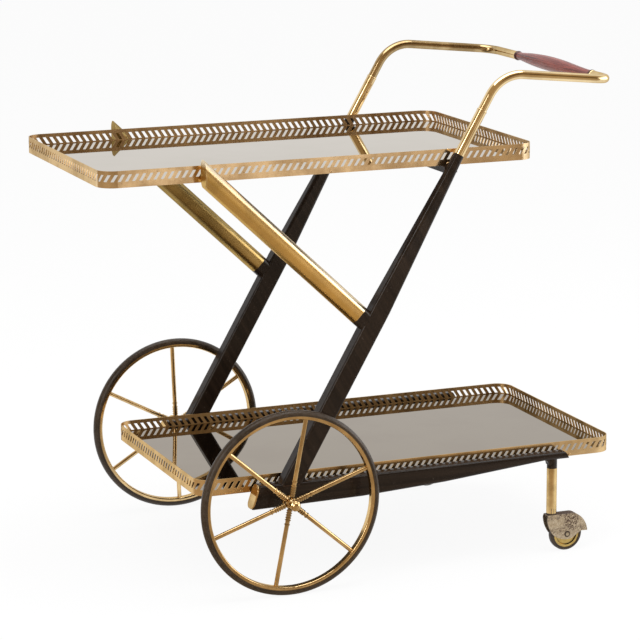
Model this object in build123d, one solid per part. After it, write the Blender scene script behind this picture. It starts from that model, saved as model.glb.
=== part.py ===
from build123d import *
import math
import os

# A two-tier bar cart. +X runs along the cart towards the handle, +Y across it, +Z up from the floor.
# The origin is on the floor at the middle of the cart. Left is -Y, as seen by whoever pushes it.
SIDES = {"left": -1, "right": 1}

# Fits between pieces
SLIP_FIT = 0.05
RUNNING_CLEARANCE = 0.05
END_PLAY = 0.3

# Trays
TRAY_LENGTH = 670.0
TRAY_WIDTH = 376.0
TRAY_CORNER_RADIUS = 25.0
TRAY_STAGGER = 136.0
TRAY_SPACING = 459.0
TRAY_BELOW_BEAM_TOP = 14.0
BOARD_THICKNESS = 3.5
GLASS_THICKNESS = 4.0
GLASS_EDGE_GAP = 0.5

# Pierced gallery strip round each tray
GALLERY_HEIGHT = 24.0
GALLERY_THICKNESS = 1.2
SLOT_PITCH = 10.45
SLOT_WIDTH = 4.8
SLOT_HEIGHT = 10.0
SLOT_LIFT = 8.6
SLOT_SLANT = 6.4

# Big wheels
WHEEL_DIAMETER = 274.0
WHEEL_X = -148.0
TYRE_DEPTH = 8.0
TYRE_WIDTH = 15.0
TYRE_SIDE_HEIGHT = 3.2
RIM_DEPTH = 5.3
RIM_WIDTH = 12.0
RIM_EASE = 2.4
SPOKE_COUNT = 6
SPOKE_DIAMETER = 6.5
SPOKE_SPIGOT_DIAMETER = 4.0
SPOKE_SPIGOT_LENGTH = 2.4
NIPPLE_DIAMETER = 6.5
NIPPLE_LENGTH = 25.0
NIPPLE_RING_DIAMETER = 8.6
NIPPLE_RING_WIDTH = 1.8
NIPPLE_RING_PITCH = 3.5
NIPPLE_RINGS = 5
SPOKE_ANGLE = {"left": 18.8, "right": 32.0}
HUB_LENGTH = 41.0
HUB_DIAMETER = 18.0
HUB_BARREL_LENGTH = 16.0
HUB_NECK_DIAMETER = 12.5
HUB_END_DIAMETER = 15.0
HUB_END_LENGTH = 7.0

# Axles, fixed in the beams
AXLE_DIAMETER = 8.0
AXLE_SHOULDER_DIAMETER = 14.0
AXLE_SHOULDER_LENGTH = 14.7
AXLE_STUD_DIAMETER = 5.0
AXLE_STUD_LENGTH = 2.6
AXLE_CAP_DIAMETER = 12.5
AXLE_CAP_HEIGHT = 5.0
AXLE_NUT_WIDTH = 13.0
AXLE_NUT_THICKNESS = 4.5
AXLE_NUT_RECESS_DIAMETER = 16.0

# Side frames: a leaning leg that stands on a beam
FRAME_GAP = 4.0
FRAME_THICKNESS = 24.0
LEG_LEAN = 30.0
LEG_FOOT_X = -131.1
LEG_WIDTH = 28.0
LEG_EDGE_RADIUS = 4.0
LEG_COVE_RADIUS = 6.0
LEG_TOP_DIAMETER = 15.0
LEG_TOP_ABOVE_TRAY = 17.0
LEG_TAPER_LENGTH = 250.0
LEG_TENON_WIDTH = 14.0
LEG_TENON_THICKNESS = 12.0
LEG_TENON_LENGTH = 16.0
LEG_SPIGOT_LENGTH = 40.0
BEAM_ABOVE_AXLE = 18.0
BEAM_DEPTH = 34.3
BEAM_FRONT_DEPTH = 9.6
BEAM_REAR_OVERHANG = 43.8
BEAM_REAR_SLOPE = 11.4
BEAM_FRONT_X = 316.5
BEAM_NOSE_SLOPE = 5.0
BEAM_KNEE_X = -20.0
BEAM_KNEE_RISE = 2.5
BEAM_BELLY_X = 112.0
BEAM_BELLY_RISE = 9.8
BEAM_EDGE_RADIUS = 4.0
END_PLATE_THICKNESS = 2.5
END_PLATE_RADIUS = 9.0

# Brass struts, from the legs up to the free end of the upper tray
STRUT_ANGLE = 43.3
STRUT_END_INSET = 145.2
STRUT_END_ABOVE_TRAY = 14.5
STRUT_WIDTH = 29.2
STRUT_THICKNESS = 22.0
STRUT_EDGE_RADIUS = 9.0
STRUT_WALL = 1.5
STRUT_CAP_THICKNESS = 1.5
STRUT_BOSS_LENGTH = 12.5
STRUT_TENON_LENGTH = 12.0
LUG_WIDTH = 20.0
LUG_REACH = 30.0
LUG_THICKNESS = 2.5
LUG_INSET = 18.0

# Handle
TUBE_DIAMETER = 13.2
TUBE_WALL = 1.2
HANDLE_ABOVE_TRAY = 113.6
HANDLE_SLOPE = 5.9
HANDLE_X = 381.5
HANDLE_REAR_BEND = 55.0
HANDLE_CORNER_BEND = 26.0
SLEEVE_LENGTH = 73.0
SLEEVE_DIAMETER = 14.6
SLEEVE_RING_DIAMETER = 15.4
SLEEVE_RING_WIDTH = 2.2
GRIP_Y = -17.0
GRIP_LENGTH = 253.0
GRIP_STATIONS = ((-82.0, 14.8), (-47.0, 18.9), (14.0, 22.5), (50.0, 20.9), (85.0, 17.0))
GRIP_NECK_DIAMETER = 11.6
GRIP_END_DIAMETER = 14.8
GRIP_END_LENGTH = 4.5
GRIP_COLLAR_LENGTH = 4.0
GRIP_COLLAR_DIAMETER = 14.0
GRIP_ROD_DIAMETER = 5.0
GRIP_ROD_SLUG_LENGTH = 8.0

# Crossbars between the side frames
UPPER_CROSSBAR_X = 124.0
UPPER_CROSSBAR_SADDLE = 5.0
UPPER_CROSSBAR_WIDTH = 20.0
CROSSBAR_THICKNESS = 9.0
LOWER_CROSSBAR_X = {"rear": -95.0, "front": 105.0}
LOWER_CROSSBAR_WIDTH = 30.0
DOWEL_DIAMETER = 5.0
DOWEL_DEPTH = 10.0

# Screws
TRAY_SCREW_DIAMETER = 3.5
TRAY_SCREW_HEAD_DIAMETER = 7.0
TRAY_SCREW_HEAD_HEIGHT = 2.0
TRAY_SCREW_GRIP = 2.5
TRAY_SCREW_PLACES = (-0.36, 0.0, 0.36)
LUG_SCREW_LENGTH = 5.0
GALLERY_SCREW_DIAMETER = 1.8
GALLERY_SCREW_HEAD_DIAMETER = 4.2
GALLERY_SCREW_HEAD_HEIGHT = 1.1
GALLERY_SCREW_LENGTH = 8.0
GALLERY_SCREW_LIFT = 2.4
UPPER_GALLERY_SCREW_X = (-240.0, -58.0, 125.0)
LOWER_GALLERY_SCREW_X = (-200.0, 60.0, 330.0)

# Casters
CASTER_X = 293.0
CASTER_WHEEL_DIAMETER = 52.0
CASTER_TYRE_DEPTH = 5.0
CASTER_TYRE_WIDTH = 11.0
CASTER_WHEEL_WIDTH = 9.5
CASTER_TRAIL = 23.5
CASTER_TURN = {"left": 0.0, "right": 180.0}
CASTER_PIN_DIAMETER = 4.5
CASTER_PIN_HEAD_DIAMETER = 8.5
CASTER_PIN_HEAD_HEIGHT = 1.0
HOOD_RADIUS = 34.0
HOOD_TOP_HEIGHT = 32.0
HOOD_PLATE_THICKNESS = 1.6
HOOD_INNER_WIDTH = 12.6
HOOD_FRONT_REACH = 10.5
HOOD_FRONT_HEIGHT = 27.0
HOOD_FRONT_BULGE = 2.0
HOOD_SKIRT_DROP = 7.2
HOOD_SKIRT_BULGE = 4.2
HOOD_SKIRT_NEAR_X = -24.5
HOOD_SKIRT_FAR_X = 8.0
HOOD_NOTCH_X = 23.0
HOOD_TIP_HEIGHT = 2.6
STEM_DIAMETER = 8.0
STEM_FLANGE_DIAMETER = 13.0
STEM_FLANGE_THICKNESS = 1.2
STEM_HEAD_HEIGHT = 1.5
STEM_LENGTH = 28.0
SOCKET_LENGTH = 32.0
POST_DIAMETER = 15.5
POST_WALL = 1.5
POST_TENON_LENGTH = 14.0
POST_SLIT_WIDTH = 0.9
POST_SLIT_HEIGHT = 9.0
POST_SLIT_TURNS = (-27.0, 4.0)
POST_FOOT_EASE = 0.9
STUB_LENGTH = 15.0
STUB_COVE = 9.0

# Heights worked out from the wheels upward
AXLE_Z = WHEEL_DIAMETER / 2
BEAM_TOP = AXLE_Z + BEAM_ABOVE_AXLE
BEAM_BOTTOM = BEAM_TOP - BEAM_DEPTH
LOWER_TRAY_Z = BEAM_TOP - TRAY_BELOW_BEAM_TOP
UPPER_TRAY_Z = LOWER_TRAY_Z + TRAY_SPACING
HANDLE_Z = UPPER_TRAY_Z + HANDLE_ABOVE_TRAY
LEG_TOP_Z = UPPER_TRAY_Z + LEG_TOP_ABOVE_TRAY
HOOD_TOP_Z = CASTER_WHEEL_DIAMETER / 2 + HOOD_TOP_HEIGHT
POST_BOTTOM = HOOD_TOP_Z + STEM_FLANGE_THICKNESS + END_PLAY
STUB_BOTTOM = BEAM_TOP - BEAM_FRONT_DEPTH - STUB_LENGTH

# Places across the cart, measured outward from its middle
GALLERY_OUTER_Y = TRAY_WIDTH / 2
FRAME_INNER_Y = GALLERY_OUTER_Y + FRAME_GAP
FRAME_OUTER_Y = FRAME_INNER_Y + FRAME_THICKNESS
FRAME_Y = (FRAME_INNER_Y + FRAME_OUTER_Y) / 2
HUB_INNER_Y = FRAME_OUTER_Y + AXLE_SHOULDER_LENGTH + END_PLAY
WHEEL_Y = HUB_INNER_Y + HUB_LENGTH / 2

# Places along the cart
UPPER_TRAY_X = -TRAY_STAGGER / 2
LOWER_TRAY_X = TRAY_STAGGER / 2
STRUT_END_X = UPPER_TRAY_X - TRAY_LENGTH / 2 + STRUT_END_INSET
CASTER_WHEEL_X = CASTER_X + CASTER_TRAIL

# The leg's centre line rises from its foot, and the strut's falls to meet it
LEAN = math.radians(LEG_LEAN)
LEG_AXIS = Vector(math.sin(LEAN), 0, math.cos(LEAN))
LEG_LENGTH = (LEG_TOP_Z - BEAM_TOP) / math.cos(LEAN)
FALL = math.radians(STRUT_ANGLE)
STRUT_AXIS = Vector(math.cos(FALL), 0, -math.sin(FALL))
TUBE_BORE = TUBE_DIAMETER - 2 * TUBE_WALL


def at(side, x, z):
    """A point in the middle plane of one side frame."""
    return Vector(x, SIDES[side] * FRAME_Y, z)


def leg_foot(side):
    return at(side, LEG_FOOT_X, BEAM_TOP)


def leg_point(side, length):
    """A point on the leg's centre line, measured up it from the foot."""
    return leg_foot(side) + LEG_AXIS * length


def strut_meets_leg():
    """How far up the leg, and how far down the strut, their centre lines cross."""
    start_x = STRUT_END_X - LEG_FOOT_X
    start_z = UPPER_TRAY_Z + STRUT_END_ABOVE_TRAY - BEAM_TOP
    determinant = LEG_AXIS.X * -STRUT_AXIS.Z + STRUT_AXIS.X * LEG_AXIS.Z
    up_leg = (start_x * -STRUT_AXIS.Z + start_z * STRUT_AXIS.X) / determinant
    down_strut = (start_z * LEG_AXIS.X - start_x * LEG_AXIS.Z) / determinant
    return up_leg, down_strut


def strut_start(side):
    return at(side, STRUT_END_X, UPPER_TRAY_Z + STRUT_END_ABOVE_TRAY)


def strut_length():
    """From the upper cut to the boss on the leg, along the centre line."""
    crossing = math.pi / 2 + LEAN - FALL
    to_leg_face = LEG_WIDTH / 2 / abs(math.sin(crossing))
    return strut_meets_leg()[1] - to_leg_face - STRUT_BOSS_LENGTH


def rod(start, end, diameter):
    """A round bar between two points."""
    run = end - start
    return extrude(Plane(origin=start, z_dir=run) * Circle(diameter / 2), run.length)


def cross_bored(body, centre, direction, diameter, length):
    """The body with a round hole, centred on a point."""
    half = direction.normalized() * (length / 2)
    return body - rod(centre - half, centre + half, diameter)


def strut_plane(side, length):
    """A section plane across the strut; its X is across the cart."""
    return Plane(origin=strut_start(side) + STRUT_AXIS * length, x_dir=(0, 1, 0), z_dir=STRUT_AXIS)


def leg_plane(side, length):
    """A section plane across the leg; its X is across the cart."""
    return Plane(origin=leg_point(side, length), x_dir=(0, 1, 0), z_dir=LEG_AXIS)


def slab(x, y, z, x_size, y_size, z_size):
    """A box given by its centre in X and Y and by its underside."""
    return Pos(x, y, z + z_size / 2) * Box(x_size, y_size, z_size)


def tray_outline(inset):
    radius = max(TRAY_CORNER_RADIUS - inset, 0.5)
    return RectangleRounded(TRAY_LENGTH - 2 * inset, TRAY_WIDTH - 2 * inset, radius)


def gallery_stations():
    """Where the slots stand round the outline: a point and the outward direction of each."""
    straight_x = TRAY_LENGTH - 2 * TRAY_CORNER_RADIUS
    straight_y = TRAY_WIDTH - 2 * TRAY_CORNER_RADIUS
    arc = math.pi / 2 * TRAY_CORNER_RADIUS
    turn_length = straight_x + straight_y + 2 * arc
    count = 2 * round(turn_length / SLOT_PITCH)
    stations = []
    for index in range(count):
        distance = (index + 0.5) * 2 * turn_length / count
        mirror = 1 if distance < turn_length else -1
        run = distance % turn_length
        corner_x = TRAY_LENGTH / 2 - TRAY_CORNER_RADIUS
        corner_y = TRAY_WIDTH / 2 - TRAY_CORNER_RADIUS
        if run < straight_x:
            point, angle = (run - corner_x, -TRAY_WIDTH / 2), -90.0
        elif run < straight_x + arc:
            angle = -90.0 + math.degrees((run - straight_x) / TRAY_CORNER_RADIUS)
            point = (
                corner_x + TRAY_CORNER_RADIUS * math.cos(math.radians(angle)),
                -corner_y + TRAY_CORNER_RADIUS * math.sin(math.radians(angle)),
            )
        elif run < straight_x + arc + straight_y:
            point, angle = (TRAY_LENGTH / 2, run - straight_x - arc - corner_y), 0.0
        else:
            angle = math.degrees((run - straight_x - arc - straight_y) / TRAY_CORNER_RADIUS)
            point = (
                corner_x + TRAY_CORNER_RADIUS * math.cos(math.radians(angle)),
                corner_y + TRAY_CORNER_RADIUS * math.sin(math.radians(angle)),
            )
        stations.append((point[0] * mirror, point[1] * mirror, angle + (0 if mirror > 0 else 180)))
    return stations


def make_gallery(tray_x, tray_z):
    """A brass strip bent round the tray, pierced with one row of leaning slots."""
    ring = extrude(tray_outline(0) - tray_outline(GALLERY_THICKNESS), GALLERY_HEIGHT)
    half_width = SLOT_WIDTH / 2
    half_slant = SLOT_SLANT / 2
    corners = [
        (-half_width - half_slant, 0),
        (half_width - half_slant, 0),
        (half_width + half_slant, SLOT_HEIGHT),
        (-half_width + half_slant, SLOT_HEIGHT),
    ]
    slot_face = make_face(Polyline(*corners, close=True))
    cutters = []
    for x, y, angle in gallery_stations():
        outward = Vector(math.cos(math.radians(angle)), math.sin(math.radians(angle)), 0)
        along = Vector(0, 0, 1).cross(outward)
        start = Vector(x, y, SLOT_LIFT) - outward * 2 * GALLERY_THICKNESS
        cut_plane = Plane(origin=start, x_dir=along, z_dir=outward)
        cutters.append(extrude(cut_plane * slot_face, 3 * GALLERY_THICKNESS))
    return Pos(tray_x, 0, tray_z) * (ring - cutters)


def make_board(tray_x, tray_z):
    outline = tray_outline(GALLERY_THICKNESS + SLIP_FIT)
    return Pos(tray_x, 0, tray_z) * extrude(outline, BOARD_THICKNESS)


def make_glass(tray_x, tray_z):
    outline = tray_outline(GALLERY_THICKNESS + GLASS_EDGE_GAP)
    glass = extrude(outline, GLASS_THICKNESS)
    top_edges = glass.edges().group_by(Axis.Z)[-1]
    glass = chamfer(top_edges, 0.6)
    return Pos(tray_x, 0, tray_z + BOARD_THICKNESS) * glass


def make_leg(side):
    """The leg: square with eased edges below, tapering to a round top, with its boss and tenons."""
    full = Rectangle(FRAME_THICKNESS, LEG_WIDTH)
    shaft = fillet(full.vertices(), LEG_EDGE_RADIUS)
    taper_start = LEG_LENGTH - LEG_TAPER_LENGTH
    top = RectangleRounded(LEG_TOP_DIAMETER, LEG_TOP_DIAMETER, LEG_TOP_DIAMETER / 2 - 0.05)
    body = extrude(leg_plane(side, -LEG_WIDTH) * shaft, taper_start + LEG_WIDTH)
    body += loft([leg_plane(side, taper_start) * shaft, leg_plane(side, LEG_LENGTH) * top])
    body += make_strut_boss(side)
    body += side_extrude(side, leg_cove(), FRAME_THICKNESS - 1.5 * LEG_EDGE_RADIUS)
    lowest = BEAM_TOP - BEAM_EDGE_RADIUS
    body -= slab(LEG_FOOT_X, SIDES[side] * FRAME_Y, lowest - 60, 200, 2 * FRAME_THICKNESS, 60)
    body -= beam_blank(side, SLIP_FIT)
    tenon = Rectangle(LEG_TENON_THICKNESS, LEG_TENON_WIDTH)
    body += extrude(leg_plane(side, -LEG_TENON_LENGTH) * tenon, 2 * LEG_TENON_LENGTH)
    spigot_end = LEG_LENGTH + LEG_SPIGOT_LENGTH
    body += rod(leg_point(side, LEG_LENGTH - 1), leg_point(side, spigot_end), TUBE_BORE - 2 * SLIP_FIT)
    return body - upper_dowel(side, SLIP_FIT)


def leg_cove():
    """The hollow curve that eases the leg's leaning side into the beam's top, in X and Z."""
    half_angle = (math.pi / 2 - LEAN) / 2
    reach = LEG_COVE_RADIUS / math.tan(half_angle)
    corner_x = LEG_FOOT_X + LEG_WIDTH / 2 / math.cos(LEAN)
    up_leg = (corner_x + reach * math.sin(LEAN), BEAM_TOP + reach * math.cos(LEAN))
    centre = (corner_x + reach, BEAM_TOP + LEG_COVE_RADIUS)
    inside = (corner_x - LEG_WIDTH / 2, BEAM_TOP + LEG_COVE_RADIUS)
    points = [(corner_x - LEG_WIDTH / 2, BEAM_TOP), (corner_x + reach, BEAM_TOP), centre, up_leg, inside]
    return make_face(Polyline(*points, close=True)) - Pos(*centre) * Circle(LEG_COVE_RADIUS)


def make_strut_boss(side):
    """The nose on the leg that the strut butts on, and the tenon inside the strut."""
    outline = RectangleRounded(STRUT_THICKNESS, STRUT_WIDTH, STRUT_EDGE_RADIUS)
    length = strut_meets_leg()[1] - strut_length()
    boss = extrude(strut_plane(side, strut_length()) * outline, length)
    wall = STRUT_WALL + SLIP_FIT
    inner = RectangleRounded(
        STRUT_THICKNESS - 2 * wall, STRUT_WIDTH - 2 * wall, STRUT_EDGE_RADIUS - STRUT_WALL
    )
    tenon_start = strut_length() - STRUT_TENON_LENGTH
    return boss + extrude(strut_plane(side, tenon_start) * inner, STRUT_TENON_LENGTH + 1)


def strut_solid(side, shrink):
    """The strut's outer shape, or its bore, cut square to the floor at the upper end."""
    section = RectangleRounded(
        STRUT_THICKNESS - 2 * shrink, STRUT_WIDTH - 2 * shrink, STRUT_EDGE_RADIUS - shrink
    )
    overrun = STRUT_WIDTH
    return extrude(strut_plane(side, -overrun) * section, strut_length() + overrun)


def beyond(side, x, reach):
    """The space ahead of an upright plane across the strut."""
    z = UPPER_TRAY_Z - reach
    return slab(x + reach, SIDES[side] * FRAME_Y, z, 2 * reach, 2 * STRUT_THICKNESS, 2 * reach)


def make_strut(side):
    reach = strut_length() + STRUT_WIDTH
    tube = strut_solid(side, 0) - strut_solid(side, STRUT_WALL)
    return tube & beyond(side, STRUT_END_X + STRUT_CAP_THICKNESS, reach)


def make_strut_cap(side):
    """The flat plate that closes the strut's upright upper end."""
    reach = strut_length() + STRUT_WIDTH
    plate = strut_solid(side, 0) & beyond(side, STRUT_END_X, reach)
    return plate - beyond(side, STRUT_END_X + STRUT_CAP_THICKNESS, reach)


def make_strut_lugs():
    """Flat lugs from the struts' inner faces to the underside of the upper tray."""
    lugs = []
    for sign in SIDES.values():
        outer = FRAME_Y - STRUT_THICKNESS / 2
        centre_y = sign * (outer - LUG_REACH / 2)
        centre_x = STRUT_END_X + LUG_INSET
        lug = slab(centre_x, centre_y, UPPER_TRAY_Z - LUG_THICKNESS, LUG_WIDTH, LUG_REACH, LUG_THICKNESS)
        lugs.append(lug - tray_screw(*lug_screw_place(sign), LUG_SCREW_LENGTH, SLIP_FIT))
    return lugs


def lug_screw_place(sign):
    y = sign * (FRAME_Y - STRUT_THICKNESS / 2 - LUG_REACH + LUG_WIDTH / 2)
    return STRUT_END_X + LUG_INSET, y, UPPER_TRAY_Z - LUG_THICKNESS


def beam_profile():
    """The beam seen from its side: level on top, its underside rising towards the caster."""
    rear_x = WHEEL_X - BEAM_REAR_OVERHANG
    front_bottom = BEAM_TOP - BEAM_FRONT_DEPTH
    points = [
        (rear_x + BEAM_REAR_SLOPE, BEAM_TOP),
        (rear_x, BEAM_BOTTOM),
        (BEAM_KNEE_X, BEAM_BOTTOM + BEAM_KNEE_RISE),
        (BEAM_BELLY_X, BEAM_BOTTOM + BEAM_BELLY_RISE),
        (CASTER_X - POST_DIAMETER / 2 - STUB_COVE, front_bottom),
        (BEAM_FRONT_X, front_bottom),
        (BEAM_FRONT_X - BEAM_NOSE_SLOPE, BEAM_TOP),
    ]
    return make_face(Polyline(*points, close=True))


def side_extrude(side, face, thickness):
    """A shape drawn in X and Z, given its thickness across the cart, centred on the side frame."""
    middle = Plane(origin=(0, SIDES[side] * FRAME_Y, 0), x_dir=(1, 0, 0), z_dir=(0, -1, 0))
    return extrude(middle * face, thickness / 2, both=True)


def beam_blank(side, clearance=0):
    """The beam's outer shape with its long edges rounded, before it is drilled."""
    body = side_extrude(side, beam_profile(), FRAME_THICKNESS + 2 * clearance)
    long_edges = body.edges().filter_by(lambda edge: abs(edge.tangent_at(0.5).Y) < 0.5)
    long_edges = long_edges.filter_by(lambda edge: edge.length > BEAM_DEPTH * 1.2)
    return fillet(long_edges, BEAM_EDGE_RADIUS)


def make_beam(side):
    """The beam, with the stub that stands on the caster's post."""
    body = beam_blank(side)
    front_bottom = BEAM_TOP - BEAM_FRONT_DEPTH
    body += rod(at(side, CASTER_X, STUB_BOTTOM), at(side, CASTER_X, front_bottom + 3), POST_DIAMETER)
    body += stub_cove(side)
    tenon_end = STUB_BOTTOM - POST_TENON_LENGTH
    tenon_diameter = POST_DIAMETER - 2 * POST_WALL - 2 * SLIP_FIT
    body += rod(at(side, CASTER_X, tenon_end), at(side, CASTER_X, STUB_BOTTOM + 1), tenon_diameter)
    mortise = Rectangle(LEG_TENON_THICKNESS + 2 * SLIP_FIT, LEG_TENON_WIDTH + 2 * SLIP_FIT)
    depth = LEG_TENON_LENGTH + SLIP_FIT
    body -= extrude(leg_plane(side, -depth) * mortise, 2 * depth)
    sign = SIDES[side]
    axis_start = Vector(WHEEL_X, sign * (FRAME_INNER_Y - 1), AXLE_Z)
    axis_end = Vector(WHEEL_X, sign * (FRAME_OUTER_Y + 1), AXLE_Z)
    body -= rod(axis_start, axis_end, AXLE_DIAMETER + 2 * SLIP_FIT)
    recess_end = Vector(WHEEL_X, sign * (FRAME_INNER_Y + AXLE_NUT_THICKNESS + END_PLAY), AXLE_Z)
    body -= rod(axis_start, recess_end, AXLE_NUT_RECESS_DIAMETER)
    for bar_x in LOWER_CROSSBAR_X.values():
        body -= lower_dowel(sign, bar_x, SLIP_FIT)
    return body


def stub_cove(side):
    """The hollow curve between the beam's underside and the stub."""
    left = CASTER_X - POST_DIAMETER / 2 - STUB_COVE
    top = BEAM_TOP - BEAM_FRONT_DEPTH
    block = Pos(left + STUB_COVE, top - STUB_COVE / 2) * Rectangle(2 * STUB_COVE, STUB_COVE)
    hollow = Pos(left, top - STUB_COVE) * Circle(STUB_COVE)
    kept = Pos(left + STUB_COVE / 2 + 1.5, top - STUB_COVE / 2) * Rectangle(STUB_COVE + 3, STUB_COVE)
    face = (block & kept) - hollow
    return side_extrude(side, face, POST_DIAMETER * 0.7)


def rear_end_plane(side):
    """The sloping rear end of the beam; its X is across the cart."""
    slope = Vector(BEAM_REAR_SLOPE, 0, BEAM_DEPTH)
    outward = Vector(-BEAM_DEPTH, 0, BEAM_REAR_SLOPE)
    middle = at(side, WHEEL_X - BEAM_REAR_OVERHANG + BEAM_REAR_SLOPE / 2, BEAM_BOTTOM + BEAM_DEPTH / 2)
    return Plane(origin=middle, x_dir=outward.cross(slope), z_dir=outward), slope.length


def make_end_plate(side):
    """The oval brass plate on the beam's rear end."""
    plane, height = rear_end_plane(side)
    radius = min(END_PLATE_RADIUS, FRAME_THICKNESS / 2 - 0.5)
    plate = extrude(plane * RectangleRounded(FRAME_THICKNESS, height, radius), END_PLATE_THICKNESS)
    outer_face = plate.faces().sort_by(Axis.X)[0]
    return fillet(outer_face.edges(), 0.8)


def handle_corner():
    """Where the rising leg line meets the sloping run of the handle, in X and Z."""
    slope = math.tan(math.radians(HANDLE_SLOPE))
    run_at_foot = HANDLE_Z + slope * (HANDLE_X - LEG_FOOT_X)
    rise = (run_at_foot - BEAM_TOP) / (1 + slope * math.tan(LEAN))
    return LEG_FOOT_X + rise * math.tan(LEAN), BEAM_TOP + rise


def make_handle_tube(side):
    """One bent tube: up along the leg's line, over to the handle, then across towards the grip."""
    sign = SIDES[side]
    corner_x, corner_z = handle_corner()
    tube_end = GRIP_Y + sign * (GRIP_LENGTH / 2 + GRIP_COLLAR_LENGTH)
    path = FilletPolyline(
        leg_point(side, LEG_LENGTH),
        at(side, corner_x, corner_z),
        at(side, HANDLE_X, HANDLE_Z),
        Vector(HANDLE_X, tube_end, HANDLE_Z),
        radius=[HANDLE_REAR_BEND, HANDLE_CORNER_BEND],
    )
    start = leg_plane(side, LEG_LENGTH)
    outside = sweep(start * Circle(TUBE_DIAMETER / 2), path=path)
    inside = sweep(start * Circle(TUBE_BORE / 2), path=path)
    return outside - inside


def make_sleeve(side):
    """The brass sleeve where the handle tube leaves the leg, with its bead."""
    bottom = leg_point(side, LEG_LENGTH)
    top = leg_point(side, LEG_LENGTH + SLEEVE_LENGTH)
    bead_start = leg_point(side, LEG_LENGTH + SLEEVE_LENGTH - SLEEVE_RING_WIDTH)
    bead = rod(bead_start, top, SLEEVE_RING_DIAMETER)
    bead = fillet(bead.edges(), SLEEVE_RING_WIDTH * 0.35)
    bore = rod(bottom - LEG_AXIS, top + LEG_AXIS, TUBE_DIAMETER + 2 * SLIP_FIT)
    return rod(bottom, top, SLEEVE_DIAMETER) + bead - bore


def across(points, x, z, bore):
    """A turned piece about an axis across the cart, from radius and Y pairs."""
    first, last = points[0][1], points[-1][1]
    outline = [(bore / 2, first)] + points + [(bore / 2, last)]
    profile = make_face(Polyline(*outline, close=True))
    return Pos(x, 0, z) * revolve(profile, Axis.Y)


def make_grip():
    """The turned wooden grip: fullest near the middle, with a small flare at each end."""
    half = GRIP_LENGTH / 2
    neck = half - GRIP_END_LENGTH
    stations = [(diameter / 2, y) for y, diameter in GRIP_STATIONS]
    neck_radius = GRIP_NECK_DIAMETER / 2
    belly = Spline(
        (neck_radius, -neck),
        *stations,
        (neck_radius, neck),
        tangents=[(0.035, 1), (-0.035, 1)],
    )
    bore = GRIP_ROD_DIAMETER / 2 + SLIP_FIT
    end_radius = GRIP_END_DIAMETER / 2
    outline = [
        Polyline((bore, -half), (end_radius, -half), (end_radius, -half + 2), belly @ 0),
        belly,
        Polyline(belly @ 1, (end_radius, half - 2), (end_radius, half), (bore, half), (bore, -half)),
    ]
    return Pos(HANDLE_X, GRIP_Y, HANDLE_Z) * revolve(make_face(outline), Axis.Y)


def make_grip_collar(side):
    """A beaded brass collar between the grip and the end of the tube."""
    start = GRIP_LENGTH / 2
    end = start + GRIP_COLLAR_LENGTH
    radius = GRIP_COLLAR_DIAMETER / 2
    points = [
        (radius - 0.9, start),
        (radius - 0.9, start + 1),
        (radius, start + 1.6),
        (radius, end - 0.6),
        (radius - 0.5, end),
    ]
    profile = [(r, SIDES[side] * y) for r, y in points]
    collar = across(profile, HANDLE_X, HANDLE_Z, GRIP_ROD_DIAMETER + 2 * SLIP_FIT)
    return Pos(0, GRIP_Y, 0) * collar


def make_grip_rod():
    """The steel rod through the grip, with a slug brazed inside each tube end."""
    slug_start = GRIP_LENGTH / 2 + GRIP_COLLAR_LENGTH + 1
    slug_end = slug_start + GRIP_ROD_SLUG_LENGTH
    slug_radius = TUBE_BORE / 2 - SLIP_FIT
    radius = GRIP_ROD_DIAMETER / 2
    points = [
        (0, -slug_end),
        (slug_radius, -slug_end),
        (slug_radius, -slug_start),
        (radius, -slug_start),
        (radius, slug_start),
        (slug_radius, slug_start),
        (slug_radius, slug_end),
        (0, slug_end),
    ]
    profile = make_face(Polyline(*points, close=True))
    return Pos(HANDLE_X, GRIP_Y, HANDLE_Z) * revolve(profile, Axis.Y)


def upper_dowel(side, clearance):
    """The dowel between a leg and the upper crossbar."""
    sign = SIDES[side]
    z = UPPER_TRAY_Z - CROSSBAR_THICKNESS / 2
    centre = Vector(leg_x_at(z), sign * FRAME_INNER_Y, z)
    step = Vector(0, DOWEL_DEPTH + clearance, 0)
    return rod(centre - step, centre + step, DOWEL_DIAMETER + 2 * clearance)


def leg_x_at(z):
    return LEG_FOOT_X + (z - BEAM_TOP) * math.tan(LEAN)


def lower_dowel(sign, bar_x, clearance):
    """The dowel between a beam and a lower crossbar."""
    centre = Vector(bar_x, sign * FRAME_INNER_Y, LOWER_TRAY_Z - CROSSBAR_THICKNESS / 2)
    step = Vector(0, DOWEL_DEPTH + clearance, 0)
    return rod(centre - step, centre + step, DOWEL_DIAMETER + 2 * clearance)


def make_upper_crossbar():
    """The bar under the upper tray, saddled to the two legs."""
    z = UPPER_TRAY_Z - CROSSBAR_THICKNESS
    length = 2 * (FRAME_Y - LEG_TOP_DIAMETER / 2 + UPPER_CROSSBAR_SADDLE)
    bar = slab(UPPER_CROSSBAR_X, 0, z, UPPER_CROSSBAR_WIDTH, length, CROSSBAR_THICKNESS)
    for side in SIDES:
        bar -= LEGS[side]
        bar -= upper_dowel(side, SLIP_FIT)
    bar = bar.solids().sort_by(SortBy.VOLUME)[-1]
    for x, y, screw_z, length in upper_screw_places():
        bar -= tray_screw(x, y, screw_z, length, SLIP_FIT)
    return bar


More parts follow.
